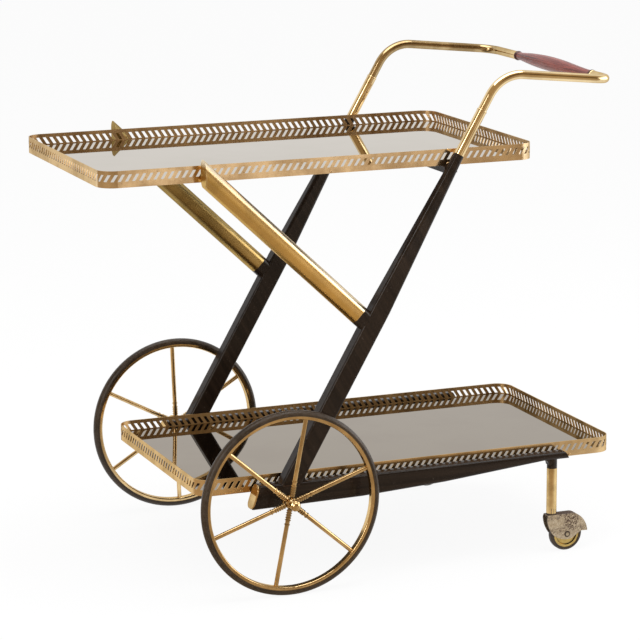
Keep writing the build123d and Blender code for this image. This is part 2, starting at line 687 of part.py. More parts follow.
def make_lower_crossbar(bar_x):
    z = LOWER_TRAY_Z - CROSSBAR_THICKNESS
    bar = slab(bar_x, 0, z, LOWER_CROSSBAR_WIDTH, 2 * FRAME_INNER_Y, CROSSBAR_THICKNESS)
    for sign in SIDES.values():
        bar -= lower_dowel(sign, bar_x, SLIP_FIT)
    for place in TRAY_SCREW_PLACES:
        y = place * TRAY_WIDTH
        bar -= tray_screw(bar_x, y, z, CROSSBAR_THICKNESS + TRAY_SCREW_GRIP, SLIP_FIT)
    return bar


def tray_screw(x, y, z, length, clearance):
    """A countersunk screw driven upward from z, or the hole it needs."""
    head = TRAY_SCREW_HEAD_DIAMETER / 2 + clearance
    shank = TRAY_SCREW_DIAMETER / 2 + clearance
    points = [(0, 0), (head, 0), (shank, TRAY_SCREW_HEAD_HEIGHT), (shank, length), (0, length + clearance)]
    return Pos(x, y, z) * revolve(Plane.XZ * make_face(Polyline(*points, close=True)), Axis.Z)


def upper_screw_places():
    z = UPPER_TRAY_Z - CROSSBAR_THICKNESS
    length = CROSSBAR_THICKNESS + TRAY_SCREW_GRIP
    return [(UPPER_CROSSBAR_X, place * TRAY_WIDTH, z, length) for place in TRAY_SCREW_PLACES]


def upper_tray_screws(clearance):
    screws = [tray_screw(*place, clearance) for place in upper_screw_places()]
    screws += [tray_screw(*lug_screw_place(sign), LUG_SCREW_LENGTH, clearance) for sign in SIDES.values()]
    return screws


def lower_tray_screws(clearance):
    z = LOWER_TRAY_Z - CROSSBAR_THICKNESS
    length = CROSSBAR_THICKNESS + TRAY_SCREW_GRIP
    places = [(bar_x, place * TRAY_WIDTH) for bar_x in LOWER_CROSSBAR_X.values() for place in TRAY_SCREW_PLACES]
    return [tray_screw(x, y, z, length, clearance) for x, y in places]


def gallery_screws(places, tray_z, clearance):
    """Small round-headed screws through the gallery into the board's edge, or their holes."""
    z = tray_z + GALLERY_SCREW_LIFT
    screws = []
    for x in places:
        for sign in SIDES.values():
            head_seat = sign * GALLERY_OUTER_Y
            tip = sign * (GALLERY_OUTER_Y - GALLERY_SCREW_LENGTH)
            crown = sign * (GALLERY_OUTER_Y + GALLERY_SCREW_HEAD_HEIGHT)
            shank = rod(Vector(x, tip, z), Vector(x, head_seat, z), GALLERY_SCREW_DIAMETER + 2 * clearance)
            head = rod(Vector(x, head_seat, z), Vector(x, crown, z), GALLERY_SCREW_HEAD_DIAMETER)
            outer = head.faces().sort_by(Axis.Y)[-1 if sign > 0 else 0]
            head = fillet(outer.edges(), GALLERY_SCREW_HEAD_HEIGHT * 0.8)
            screws.append(shank + head)
    return screws


def wheel_place(side):
    return Pos(WHEEL_X, SIDES[side] * WHEEL_Y, AXLE_Z)


def ring(profile_points):
    """A ring about Y from radius and Y pairs."""
    return revolve(make_face(Polyline(*profile_points, close=True)), Axis.Y)


def make_tyre(side):
    """The rubber tyre, flat where it sits on the rim and crowned outside."""
    outer = WHEEL_DIAMETER / 2
    inner = outer - TYRE_DEPTH
    half = TYRE_WIDTH / 2
    shoulder = inner + TYRE_SIDE_HEIGHT
    outline = [
        Polyline((shoulder, -half), (inner, -half), (inner, half), (shoulder, half)),
        ThreePointArc((shoulder, half), (outer, 0), (shoulder, -half)),
    ]
    return wheel_place(side) * revolve(make_face(outline), Axis.Y)


def spoke_frames(side):
    """A plane on the wheel's centre for each spoke, facing outward along it."""
    frames = []
    for index in range(SPOKE_COUNT):
        angle = math.radians(SPOKE_ANGLE[side] + index * 360 / SPOKE_COUNT)
        outward = (math.cos(angle), 0, math.sin(angle))
        frames.append(Plane(origin=(0, 0, 0), x_dir=(0, 1, 0), z_dir=outward))
    return frames


def make_rim(side):
    """The brass hoop under the tyre, with its spoke holes."""
    outer = WHEEL_DIAMETER / 2 - TYRE_DEPTH
    inner = outer - RIM_DEPTH
    half = RIM_WIDTH / 2
    hoop = ring([(inner, -half), (outer, -half), (outer, half), (inner, half)])
    hoop = fillet(hoop.edges().filter_by(GeomType.CIRCLE).sort_by(SortBy.RADIUS)[:2], RIM_EASE)
    for frame in spoke_frames(side):
        hole_depth = SPOKE_SPIGOT_LENGTH + SLIP_FIT
        hole = Circle(SPOKE_SPIGOT_DIAMETER / 2 + SLIP_FIT)
        hoop -= extrude(frame.offset(inner - 2) * hole, 2 + hole_depth)
    return wheel_place(side) * hoop


def spoke_profile():
    """Half of the turned spoke: plain spigots, a ringed nipple by the hub, a slim rod outside."""
    hub_face = HUB_DIAMETER / 2
    rim_face = WHEEL_DIAMETER / 2 - TYRE_DEPTH - RIM_DEPTH
    spigot = SPOKE_SPIGOT_DIAMETER / 2
    nipple = NIPPLE_DIAMETER / 2
    bead = NIPPLE_RING_DIAMETER / 2
    thin = SPOKE_DIAMETER / 2
    start = hub_face + 0.3
    points = [(0, hub_face - SPOKE_SPIGOT_LENGTH), (spigot, hub_face - SPOKE_SPIGOT_LENGTH)]
    points += [(spigot, start), (nipple, start)]
    for index in range(NIPPLE_RINGS):
        low = start + 1.2 + index * NIPPLE_RING_PITCH
        high = low + NIPPLE_RING_WIDTH
        points += [(nipple, low), (bead, low + 0.4), (bead, high - 0.4), (nipple, high)]
    end = start + NIPPLE_LENGTH
    points += [(nipple, end - 3.2), (bead, end - 2.8), (bead, end - 2.0), (nipple, end - 1.6)]
    points += [(nipple, end), (thin, end + 1.5), (thin, rim_face - 0.15), (spigot, rim_face - 0.15)]
    points += [(spigot, rim_face + SPOKE_SPIGOT_LENGTH), (0, rim_face + SPOKE_SPIGOT_LENGTH)]
    return make_face(Polyline(*points, close=True))


def make_spokes(side):
    spoke = revolve(Plane.XZ * spoke_profile(), Axis.Z)
    return [wheel_place(side) * (frame.location * spoke) for frame in spoke_frames(side)]


def make_hub(side):
    """The turned hub: a ball that holds the spokes, a waist and a collar at each end."""
    half = HUB_LENGTH / 2
    ball = HUB_BARREL_LENGTH / 2
    collar = half - HUB_END_LENGTH
    ball_radius = HUB_DIAMETER / 2
    neck = HUB_NECK_DIAMETER / 2
    end = HUB_END_DIAMETER / 2
    bore = AXLE_DIAMETER / 2 + RUNNING_CLEARANCE
    upper = [
        (neck, ball),
        (neck, collar - 0.8),
        (end, collar),
        (end, half - 1.2),
        (end - 1.2, half),
        (bore, half),
    ]
    lower = [(radius, -y) for radius, y in reversed(upper)]
    outline = [Polyline(*upper, *lower), ThreePointArc((neck, -ball), (ball_radius, 0), (neck, ball))]
    hub = revolve(make_face(outline), Axis.Y)
    for frame in spoke_frames(side):
        hole = Circle(SPOKE_SPIGOT_DIAMETER / 2 + SLIP_FIT)
        depth = SPOKE_SPIGOT_LENGTH + SLIP_FIT
        hub -= extrude(frame.offset(ball_radius - depth) * hole, depth + 2)
    return wheel_place(side) * hub


def make_axle(side):
    """The steel stub axle: threaded end in the beam, shoulder, journal and a stud for the cap."""
    journal_end = HUB_INNER_Y + HUB_LENGTH + END_PLAY
    points = [
        (0, FRAME_INNER_Y + 0.5),
        (AXLE_DIAMETER / 2, FRAME_INNER_Y + 0.5),
        (AXLE_DIAMETER / 2, FRAME_OUTER_Y),
        (AXLE_SHOULDER_DIAMETER / 2, FRAME_OUTER_Y),
        (AXLE_SHOULDER_DIAMETER / 2, FRAME_OUTER_Y + AXLE_SHOULDER_LENGTH),
        (AXLE_DIAMETER / 2, FRAME_OUTER_Y + AXLE_SHOULDER_LENGTH),
        (AXLE_DIAMETER / 2, journal_end),
        (AXLE_STUD_DIAMETER / 2, journal_end),
        (AXLE_STUD_DIAMETER / 2, journal_end + AXLE_STUD_LENGTH),
        (0, journal_end + AXLE_STUD_LENGTH),
    ]
    axle = Pos(WHEEL_X, 0, AXLE_Z) * revolve(make_face(Polyline(*points, close=True)), Axis.Y)
    return axle if SIDES[side] > 0 else mirror(axle, Plane.XZ)


def make_axle_caps():
    """Domed caps on the axle studs, one each side."""
    start = HUB_INNER_Y + HUB_LENGTH + END_PLAY
    radius = AXLE_CAP_DIAMETER / 2
    edge = start + AXLE_CAP_HEIGHT * 0.35
    crown = start + AXLE_CAP_HEIGHT
    stud = AXLE_STUD_DIAMETER / 2 + SLIP_FIT
    stud_end = start + AXLE_STUD_LENGTH + SLIP_FIT
    dome_height = crown - edge
    dome_radius = (radius**2 + dome_height**2) / (2 * dome_height)
    half_angle = math.asin(radius / dome_radius) / 2
    slope = (dome_radius * math.sin(half_angle), crown - dome_radius * (1 - math.cos(half_angle)))
    outline = [
        Polyline((0, crown), (0, stud_end), (stud, stud_end), (stud, start), (radius, start), (radius, edge)),
        ThreePointArc((radius, edge), slope, (0, crown)),
    ]
    cap = Pos(WHEEL_X, 0, AXLE_Z) * revolve(make_face(outline), Axis.Y)
    return [mirror(cap, Plane.XZ), cap]


def make_axle_nuts():
    """Hexagon nuts let into the inner faces of the beams."""
    hexagon = RegularPolygon(AXLE_NUT_WIDTH / 2, 6, major_radius=False)
    face = hexagon - Circle(AXLE_DIAMETER / 2 + SLIP_FIT)
    start = FRAME_INNER_Y + END_PLAY
    plane = Plane(origin=(WHEEL_X, start, AXLE_Z), x_dir=(1, 0, 0), z_dir=(0, 1, 0))
    nut = extrude(plane * face, AXLE_NUT_THICKNESS)
    return [mirror(nut, Plane.XZ), nut]


def make_post(side):
    """The brass tube under the beam, slit twice at its foot so that a tongue grips the socket."""
    bore = POST_DIAMETER - 2 * POST_WALL
    tube = rod(at(side, CASTER_X, POST_BOTTOM), at(side, CASTER_X, STUB_BOTTOM), POST_DIAMETER)
    tube -= rod(at(side, CASTER_X, POST_BOTTOM - 1), at(side, CASTER_X, STUB_BOTTOM + 1), bore)
    foot = tube.edges().group_by(Axis.Z)[0].sort_by(SortBy.RADIUS)[-1]
    tube = chamfer(foot, POST_FOOT_EASE)
    sign = SIDES[side]
    slit = slab(0, sign * POST_DIAMETER / 2, -1, POST_SLIT_WIDTH, 3 * POST_WALL, POST_SLIT_HEIGHT + 1)
    for turn in POST_SLIT_TURNS:
        tube -= Pos(CASTER_X, sign * FRAME_Y, POST_BOTTOM) * Rot(0, 0, -sign * turn) * slit
    return tube


def make_socket(side):
    """The steel socket in the post, which guides the caster's stem."""
    start = at(side, CASTER_X, POST_BOTTOM)
    end = at(side, CASTER_X, POST_BOTTOM + SOCKET_LENGTH)
    diameter = POST_DIAMETER - 2 * POST_WALL - 2 * SLIP_FIT
    lift = Vector(0, 0, 1)
    return rod(start, end, diameter) - rod(start - lift, end + lift, STEM_DIAMETER + 2 * RUNNING_CLEARANCE)


def make_stem(side):
    """The swivel stem, with a flange on the hood and a riveted head below it."""
    top_plate = HOOD_TOP_Z - HOOD_PLATE_THICKNESS
    radius = STEM_DIAMETER / 2
    points = [
        (0, top_plate - STEM_HEAD_HEIGHT),
        (radius + 1.5, top_plate - STEM_HEAD_HEIGHT),
        (radius + 1.5, top_plate),
        (radius, top_plate),
        (radius, HOOD_TOP_Z),
        (STEM_FLANGE_DIAMETER / 2, HOOD_TOP_Z),
        (STEM_FLANGE_DIAMETER / 2, HOOD_TOP_Z + STEM_FLANGE_THICKNESS),
        (radius, HOOD_TOP_Z + STEM_FLANGE_THICKNESS),
        (radius, POST_BOTTOM + STEM_LENGTH - 1),
        (radius - 1, POST_BOTTOM + STEM_LENGTH),
        (0, POST_BOTTOM + STEM_LENGTH),
    ]
    profile = Plane.XZ * make_face(Polyline(*points, close=True))
    return Pos(CASTER_X, SIDES[side] * FRAME_Y, 0) * revolve(profile, Axis.Z)


def hood_outline():
    """The hood's cheek, about the wheel's centre: flat on top, an arc behind, a rounded skirt."""
    front_x = -CASTER_TRAIL - HOOD_FRONT_REACH
    flat_end = math.sqrt(HOOD_RADIUS**2 - HOOD_TOP_HEIGHT**2)
    tip = (math.sqrt(HOOD_RADIUS**2 - HOOD_TIP_HEIGHT**2), HOOD_TIP_HEIGHT)
    half_way = (math.atan2(HOOD_TOP_HEIGHT, flat_end) + math.atan2(tip[1], tip[0])) / 2
    notch = (HOOD_NOTCH_X, HOOD_TIP_HEIGHT + 0.4)
    skirt_far = (HOOD_SKIRT_FAR_X, -HOOD_SKIRT_DROP)
    skirt_near = (HOOD_SKIRT_NEAR_X, HOOD_TIP_HEIGHT - 1)
    front_corner = (front_x, HOOD_FRONT_HEIGHT)
    outline = [
        Polyline(front_corner, (front_x + 1.5, HOOD_TOP_HEIGHT), (flat_end, HOOD_TOP_HEIGHT)),
        ThreePointArc(
            (flat_end, HOOD_TOP_HEIGHT),
            (HOOD_RADIUS * math.cos(half_way), HOOD_RADIUS * math.sin(half_way)),
            tip,
        ),
        Polyline(tip, notch, skirt_far),
        SagittaArc(skirt_far, skirt_near, HOOD_SKIRT_BULGE),
        SagittaArc(skirt_near, front_corner, HOOD_FRONT_BULGE),
    ]
    face = make_face(outline)
    corners = [vertex for vertex in face.vertices() if abs(vertex.Y - HOOD_TOP_HEIGHT) < 0.01]
    return fillet(sorted(corners, key=lambda vertex: vertex.X)[-1], HOOD_RADIUS / 2)


def make_hood(side):
    """The caster's hood: two cheeks joined by a band over the wheel."""
    width = HOOD_INNER_WIDTH + 2 * HOOD_PLATE_THICKNESS
    band = HOOD_PLATE_THICKNESS
    ceiling = HOOD_TOP_HEIGHT - band
    shell = side_extrude(side, hood_outline(), width)
    reach = CASTER_TRAIL + HOOD_FRONT_REACH + 2
    inside = Circle(HOOD_RADIUS - band) & Pos(0, ceiling - HOOD_RADIUS) * Rectangle(
        4 * HOOD_RADIUS, 2 * HOOD_RADIUS
    )
    inside += Pos(-reach / 2, 0) * Rectangle(reach, 2 * ceiling)
    inside += Pos(0, HOOD_TIP_HEIGHT - HOOD_RADIUS) * Rectangle(4 * HOOD_RADIUS, 2 * HOOD_RADIUS)
    shell -= side_extrude(side, inside, HOOD_INNER_WIDTH)
    shell = cross_bored(shell, at(side, 0, 0), Vector(0, 1, 0), CASTER_PIN_DIAMETER + 2 * SLIP_FIT, 2 * width)
    stem_centre = at(side, -CASTER_TRAIL, HOOD_TOP_HEIGHT)
    shell = cross_bored(shell, stem_centre, Vector(0, 0, 1), STEM_DIAMETER + 2 * SLIP_FIT, 6 * band)
    return Pos(CASTER_WHEEL_X, 0, CASTER_WHEEL_DIAMETER / 2) * shell


def turned_on_stem(side, shape):
    """A caster piece, turned about its stem to the way that caster points at rest."""
    stem = Axis((CASTER_X, SIDES[side] * FRAME_Y, 0), (0, 0, 1))
    return shape.rotate(stem, CASTER_TURN[side])


def caster_axis(side, offset):
    """A point on the caster wheel's axis, measured outward from the side frame's middle plane."""
    y = SIDES[side] * FRAME_Y + offset
    return Vector(CASTER_WHEEL_X, y, CASTER_WHEEL_DIAMETER / 2)


def make_caster_pin(side):
    """The rivet that the caster's wheel turns on."""
    half = HOOD_INNER_WIDTH / 2 + HOOD_PLATE_THICKNESS
    pin = rod(caster_axis(side, -half), caster_axis(side, half), CASTER_PIN_DIAMETER)
    for sign in SIDES.values():
        seat = caster_axis(side, sign * half)
        crown = caster_axis(side, sign * (half + CASTER_PIN_HEAD_HEIGHT))
        head = rod(seat, crown, CASTER_PIN_HEAD_DIAMETER)
        outer = head.faces().sort_by(Axis.Y)[-1 if sign > 0 else 0]
        pin += fillet(outer.edges(), CASTER_PIN_HEAD_HEIGHT * 0.7)
    return pin


def make_caster_wheel(side):
    """The brass wheel, dished between its boss and its rim."""
    half = CASTER_WHEEL_WIDTH / 2
    boss_half = HOOD_INNER_WIDTH / 2 - END_PLAY
    outer = CASTER_WHEEL_DIAMETER / 2 - CASTER_TYRE_DEPTH
    bore = CASTER_PIN_DIAMETER / 2 + RUNNING_CLEARANCE
    boss = CASTER_PIN_HEAD_DIAMETER / 2 + 0.5
    upper = [
        (bore, boss_half),
        (boss, boss_half),
        (boss, half - 2),
        (outer - 4.5, half - 2),
        (outer - 3.5, half),
        (outer, half),
    ]
    lower = [(radius, -y) for radius, y in reversed(upper)]
    return Pos(*caster_axis(side, 0)) * ring(upper + lower)


def make_caster_tyre(side):
    outer = CASTER_WHEEL_DIAMETER / 2
    inner = outer - CASTER_TYRE_DEPTH
    half = CASTER_TYRE_WIDTH / 2
    shoulder = outer - CASTER_TYRE_DEPTH * 0.35
    outline = [
        Polyline((shoulder, -half), (inner, -half), (inner, half), (shoulder, half)),
        Polyline((shoulder, half), (outer, half * 0.55), (outer, -half * 0.55), (shoulder, -half)),
    ]
    return Pos(*caster_axis(side, 0)) * revolve(make_face(outline), Axis.Y)


def write_part(name, shape):
    """Write one node; a list is a group of separate solids."""
    if isinstance(shape, (list, tuple)):
        shape = Compound(children=[solid for piece in shape for solid in piece.solids()])
    else:
        solids = shape.solids()
        shape = solids[0] if len(solids) == 1 else Compound(children=list(solids))
    shape.label = name
    export_step(shape, f"parts/{name}.step")


os.makedirs("parts", exist_ok=True)

LEGS = {side: make_leg(side) for side in SIDES}

for tier, tray_x, tray_z in (("upper", UPPER_TRAY_X, UPPER_TRAY_Z), ("lower", LOWER_TRAY_X, LOWER_TRAY_Z)):
    is_upper = tier == "upper"
    screw_x = UPPER_GALLERY_SCREW_X if is_upper else LOWER_GALLERY_SCREW_X
    side_holes = gallery_screws(screw_x, tray_z, SLIP_FIT)
    lower_holes = upper_tray_screws(SLIP_FIT) if is_upper else lower_tray_screws(SLIP_FIT)
    write_part(f"{tier}_tray_gallery", make_gallery(tray_x, tray_z) - side_holes)
    write_part(f"{tier}_tray_board", make_board(tray_x, tray_z) - side_holes - lower_holes)
    write_part(f"{tier}_tray_glass", make_glass(tray_x, tray_z))
    write_part(f"{tier}_gallery_screws", gallery_screws(screw_x, tray_z, 0))
write_part("upper_tray_screws", upper_tray_screws(0))
write_part("lower_tray_screws", lower_tray_screws(0))

write_part("upper_crossbar", make_upper_crossbar())
for name, bar_x in LOWER_CROSSBAR_X.items():
    write_part(f"lower_crossbar_{name}", make_lower_crossbar(bar_x))
dowels = [upper_dowel(side, 0) for side in SIDES]
dowels += [lower_dowel(sign, bar_x, 0) for sign in SIDES.values() for bar_x in LOWER_CROSSBAR_X.values()]
write_part("crossbar_dowels", dowels)

write_part("strut_lugs", make_strut_lugs())
write_part("axle_nuts", make_axle_nuts())
write_part("axle_caps", make_axle_caps())
write_part("handle_grip", make_grip())
write_part("grip_rod", make_grip_rod())

for side in SIDES:
    write_part(f"leg_{side}", LEGS[side])
    write_part(f"beam_{side}", make_beam(side))
    write_part(f"beam_end_plate_{side}", make_end_plate(side))
    write_part(f"strut_{side}", make_strut(side))
    write_part(f"strut_cap_{side}", make_strut_cap(side))
    write_part(f"handle_tube_{side}", make_handle_tube(side))
    write_part(f"handle_sleeve_{side}", make_sleeve(side))
    write_part(f"grip_collar_{side}", make_grip_collar(side))
    write_part(f"axle_{side}", make_axle(side))
    write_part(f"wheel_tyre_{side}", make_tyre(side))
    write_part(f"wheel_rim_{side}", make_rim(side))
    write_part(f"wheel_spokes_{side}", make_spokes(side))
    write_part(f"wheel_hub_{side}", make_hub(side))
    write_part(f"caster_post_{side}", make_post(side))
    write_part(f"caster_socket_{side}", make_socket(side))
    write_part(f"caster_stem_{side}", make_stem(side))
    write_part(f"caster_hood_{side}", turned_on_stem(side, make_hood(side)))
    write_part(f"caster_pin_{side}", turned_on_stem(side, make_caster_pin(side)))
    write_part(f"caster_wheel_{side}", turned_on_stem(side, make_caster_wheel(side)))
    write_part(f"caster_tyre_{side}", turned_on_stem(side, make_caster_tyre(side)))
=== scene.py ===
# %% [markdown]
# # A two-tier bar cart
#
# The imported CAD model is the frame of this scene: every node is already in its true place, in metres.
# We load it first. Nothing that we add may make the cart any bigger.

# %% Load the frame
import math

import bpy
from mathutils import Matrix, Vector

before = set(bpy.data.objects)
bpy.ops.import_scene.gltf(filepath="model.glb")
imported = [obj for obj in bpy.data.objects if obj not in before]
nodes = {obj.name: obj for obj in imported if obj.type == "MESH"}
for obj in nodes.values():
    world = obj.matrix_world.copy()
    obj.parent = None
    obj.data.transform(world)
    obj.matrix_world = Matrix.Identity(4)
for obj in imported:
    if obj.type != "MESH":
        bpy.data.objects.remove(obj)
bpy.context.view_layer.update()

# %% [markdown]
# ## The camera
#
# The view is that of a long lens, far back and a little above the upper tray, so the trays show as
# thin slivers. We could turn the camera with angles, but three axes in a matrix say the same without
# any order of turns: its right, its up, and its back, which is opposite to where it looks.

# %% The camera
CAMERA_PLACE = Vector((-1.5691, -3.8938, 1.2630))
CAMERA_YAW = math.radians(21.941)
CAMERA_PITCH = math.radians(12.371)
CAMERA_ROLL = math.radians(-0.234)
CAMERA_LENS = 159.24
SENSOR_WIDTH = 36
FARTHEST_SEEN = 50

look = Vector((
    math.sin(CAMERA_YAW) * math.cos(CAMERA_PITCH),
    math.cos(CAMERA_YAW) * math.cos(CAMERA_PITCH),
    -math.sin(CAMERA_PITCH),
))
level = Vector((math.cos(CAMERA_YAW), -math.sin(CAMERA_YAW), 0))
upright = level.cross(look)
right = level * math.cos(CAMERA_ROLL) + upright * math.sin(CAMERA_ROLL)
up = upright * math.cos(CAMERA_ROLL) - level * math.sin(CAMERA_ROLL)

camera_data = bpy.data.cameras.new("camera")
camera_data.lens = CAMERA_LENS
camera_data.sensor_width = SENSOR_WIDTH
camera_data.clip_end = FARTHEST_SEEN
camera = bpy.data.objects.new("camera", camera_data)
bpy.context.scene.collection.objects.link(camera)
camera.matrix_world = Matrix((
    (right.x, up.x, -look.x, CAMERA_PLACE.x),
    (right.y, up.y, -look.y, CAMERA_PLACE.y),
    (right.z, up.z, -look.z, CAMERA_PLACE.z),
    (0, 0, 0, 1),
))
bpy.context.scene.camera = camera
print("camera:", CAMERA_LENS, "mm lens")

# %% [markdown]
# ## Helpers for shader nodes
#
# Each material below is a small tree of nodes. Written out in full, making a node, setting it up and
# joining it takes many lines, so one short function does all three. A plug is either a plain value or
# the output of another node. The sums and mixes that come back most often get a name of their own.

# %% Helpers for shader nodes
def plug_in(tree, node, **plugs):
    for name, value in plugs.items():
        key = int(name[1:]) if name[0] == "i" and name[1:].isdigit() else name.replace("_", " ")
        if isinstance(value, bpy.types.NodeSocket):
            tree.links.new(value, node.inputs[key])
        else:
            node.inputs[key].default_value = value


def add(tree, kind, settings=None, **plugs):
    made = tree.nodes.new("ShaderNode" + kind)
    for key, value in (settings or {}).items():
        setattr(made, key, value)
    plug_in(tree, made, **plugs)
    return made


def maths(tree, operation, first, second=0.0, clamp=False):
    made = add(tree, "Math", {"operation": operation, "use_clamp": clamp}, i0=first, i1=second)
    return made.outputs[0]


def blend(tree, share, first, second):
    made = add(tree, "Mix", {"data_type": "RGBA", "blend_type": "MIX"}, i0=share, i6=first, i7=second)
    return made.outputs[2]


def spread(tree, value, low, high, to_low=0.0, to_high=1.0):
    made = add(tree, "MapRange", {"interpolation_type": "SMOOTHSTEP"}, Value=value,
               From_Min=low, From_Max=high, To_Min=to_low, To_Max=to_high)
    return made.outputs[0]


print("helpers for sums and mixes are ready")

# %% [markdown]
# Four more read or combine directions and places: how far two directions agree, one number out of the
# three of a place, the place on the object itself, and a cloudy noise at such a place.

# %% Helpers for places
def dot(tree, first, second):
    made = add(tree, "VectorMath", {"operation": "DOT_PRODUCT"}, i0=first, i1=second)
    return made.outputs["Value"]


def part_of(tree, vector, axis):
    return add(tree, "SeparateXYZ", Vector=vector).outputs[axis]


def object_place(tree):
    return add(tree, "TexCoord").outputs["Object"]


def noise(tree, place, scale, detail=3.0, roughness=0.55):
    made = add(tree, "TexNoise", Vector=place, Scale=scale, Detail=detail, Roughness=roughness)
    return made.outputs["Fac"]


print("helpers for places are ready")

# %% [markdown]
# ## The surroundings
#
# The cart was lit in a pale studio by large soft lamps. Polished brass has hardly any colour of its
# own to show without something to mirror, so the surroundings matter as much as the lamps. The camera
# sees plain white. What the metal mirrors is white behind the cart, and a dim warm room on the
# camera's side, where nobody has put up a screen. A darker patch there, such as an open doorway, draws
# the dark line along the handle's tube.

# %% The world
WORLD_FILL = (0.62, 0.62, 0.62, 1.0)
ROOM = (0.42, 0.30, 0.17, 1.0)
DARK = (0.15, 0.095, 0.045, 1.0)
WHITE = (1.0, 1.0, 1.0, 1.0)
BEHIND_CART = (math.sin(CAMERA_YAW), math.cos(CAMERA_YAW), 0.12)
DOORWAY = (0.37, -0.85, 0.36)


def kinds_of_ray(tree):
    paths = add(tree, "LightPath").outputs
    shiny = maths(tree, "MAXIMUM", paths["Is Glossy Ray"], paths["Is Transmission Ray"])
    return paths["Is Camera Ray"], shiny


world = bpy.data.worlds.new("studio")
bpy.context.scene.world = world
world.use_nodes = True
tree = world.node_tree
tree.nodes.clear()
heading = add(tree, "TexCoord").outputs["Generated"]
mirrored = blend(tree, spread(tree, dot(tree, heading, BEHIND_CART), -0.10, 0.45), ROOM, WHITE)
mirrored = blend(tree, spread(tree, dot(tree, heading, DOORWAY), 0.93, 0.98), mirrored, DARK)
from_camera, shiny = kinds_of_ray(tree)
colour = blend(tree, from_camera, blend(tree, shiny, WORLD_FILL, mirrored), WHITE)
light = add(tree, "Background", Color=colour, Strength=1.0)
tree.links.new(light.outputs[0], add(tree, "OutputWorld").inputs["Surface"])
bpy.context.scene.view_settings.view_transform = "Standard"
print("world: fill", WORLD_FILL[0])

# %% [markdown]
# Area lamps do the rest: a wide one overhead that whitens every edge which faces up, a tall one
# at the left that draws a bright line down the legs, and a large soft one at the right that lies as a
# broad pale band along the rounded edges of the struts. A small weak one stands low in front.

# %% The lamps
def lamp(name, place, target, width, height, watts):
    data = bpy.data.lights.new(name, "AREA")
    data.shape = "RECTANGLE"
    data.size = width
    data.size_y = height
    data.energy = watts
    made = bpy.data.objects.new(name, data)
    made.location = place
    made.rotation_euler = (Vector(target) - Vector(place)).to_track_quat("-Z", "Y").to_euler()
    bpy.context.scene.collection.objects.link(made)


lamp("lamp_overhead", (0.1, -0.2, 2.9), (0.1, 0.0, 0.4), 2.6, 2.0, 52)
lamp("lamp_left", (-2.6, -1.6, 1.6), (0.0, 0.0, 0.4), 0.8, 1.8, 27)
lamp("lamp_right", (2.3, -0.8, 0.95), (0.1, 0.0, 0.4), 2.4, 1.3, 26)
lamp("lamp_low", (0.85, -2.9, 0.0), (0.0, -0.2, 0.5), 0.9, 1.0, 1.5)
print("lamps:", len(bpy.data.lights))

# %% [markdown]
# ## The floor
#
# A wide plane with a pale matt finish would do, but lamps light it unevenly and its edge would show.
# Here the camera sees mostly a plain white glow and a little of the lit plane, which is enough to
# keep the soft shadow under the wheels. In the mirror of the brass, the white ends a little in front
# of the cart, as a paper sweep does, and the tone of the room takes over.

# %% The floor
FLOOR_SIZE = 60
FLOOR_GLOW = 0.92
FLOOR_PAINT = (0.93, 0.93, 0.93, 1.0)
INTO_DEPTH = (0.6, 0.8, 0)

bpy.ops.object.select_all(action="DESELECT")
bpy.ops.mesh.primitive_plane_add(size=FLOOR_SIZE, location=(0, 0, 0))
floor = bpy.context.object
floor.name = "floor"
paint = bpy.data.materials.new("floor_white")
paint.use_nodes = True
tree = paint.node_tree
tree.nodes.clear()
matt = add(tree, "BsdfDiffuse", Color=FLOOR_PAINT)
from_camera, shiny = kinds_of_ray(tree)
depth = dot(tree, add(tree, "NewGeometry").outputs["Position"], INTO_DEPTH)
sweep = blend(tree, spread(tree, depth, -0.42, 0.05), ROOM, WHITE)
glow = add(tree, "Emission", Color=blend(tree, shiny, WHITE, sweep), Strength=1.0)
share = maths(tree, "MULTIPLY", maths(tree, "MAXIMUM", from_camera, shiny), FLOOR_GLOW)
both = add(tree, "MixShader", i0=share, i1=matt.outputs[0], i2=glow.outputs[0])
tree.links.new(both.outputs[0], add(tree, "OutputMaterial").inputs["Surface"])
floor.data.materials.append(paint)
print("floor: glow", FLOOR_GLOW)

# %% [markdown]
# ## Effects that several finishes share
#
# Age shows in the same ways on brass, wood and nickel: corners rub bright, hollows keep dirt, and the
# open surface goes cloudy and spotted. On brass the bright corners are partly a painted highlight, and
# the dark hollows partly painted shade. Each effect is a node group, built once, with its own knobs.
# A group gives out only masks and heights, and each material decides what they do.

# %% Helpers for groups
def new_group(name, knobs, results):
    group = bpy.data.node_groups.new(name, "ShaderNodeTree")
    for knob, kind, value in knobs:
        socket = group.interface.new_socket(knob, in_out="INPUT", socket_type="NodeSocket" + kind)
        if value is not None:
            socket.default_value = value
    for result in results:
        group.interface.new_socket(result, in_out="OUTPUT", socket_type="NodeSocketFloat")
    start = group.nodes.new("NodeGroupInput")
    end = group.nodes.new("NodeGroupOutput")
    return group, start.outputs, end.inputs


def use_group(tree, group, **plugs):
    made = tree.nodes.new("ShaderNodeGroup")
    made.node_tree = group
    plug_in(tree, made, **plugs)
    return made.outputs


print("helpers for groups are ready")
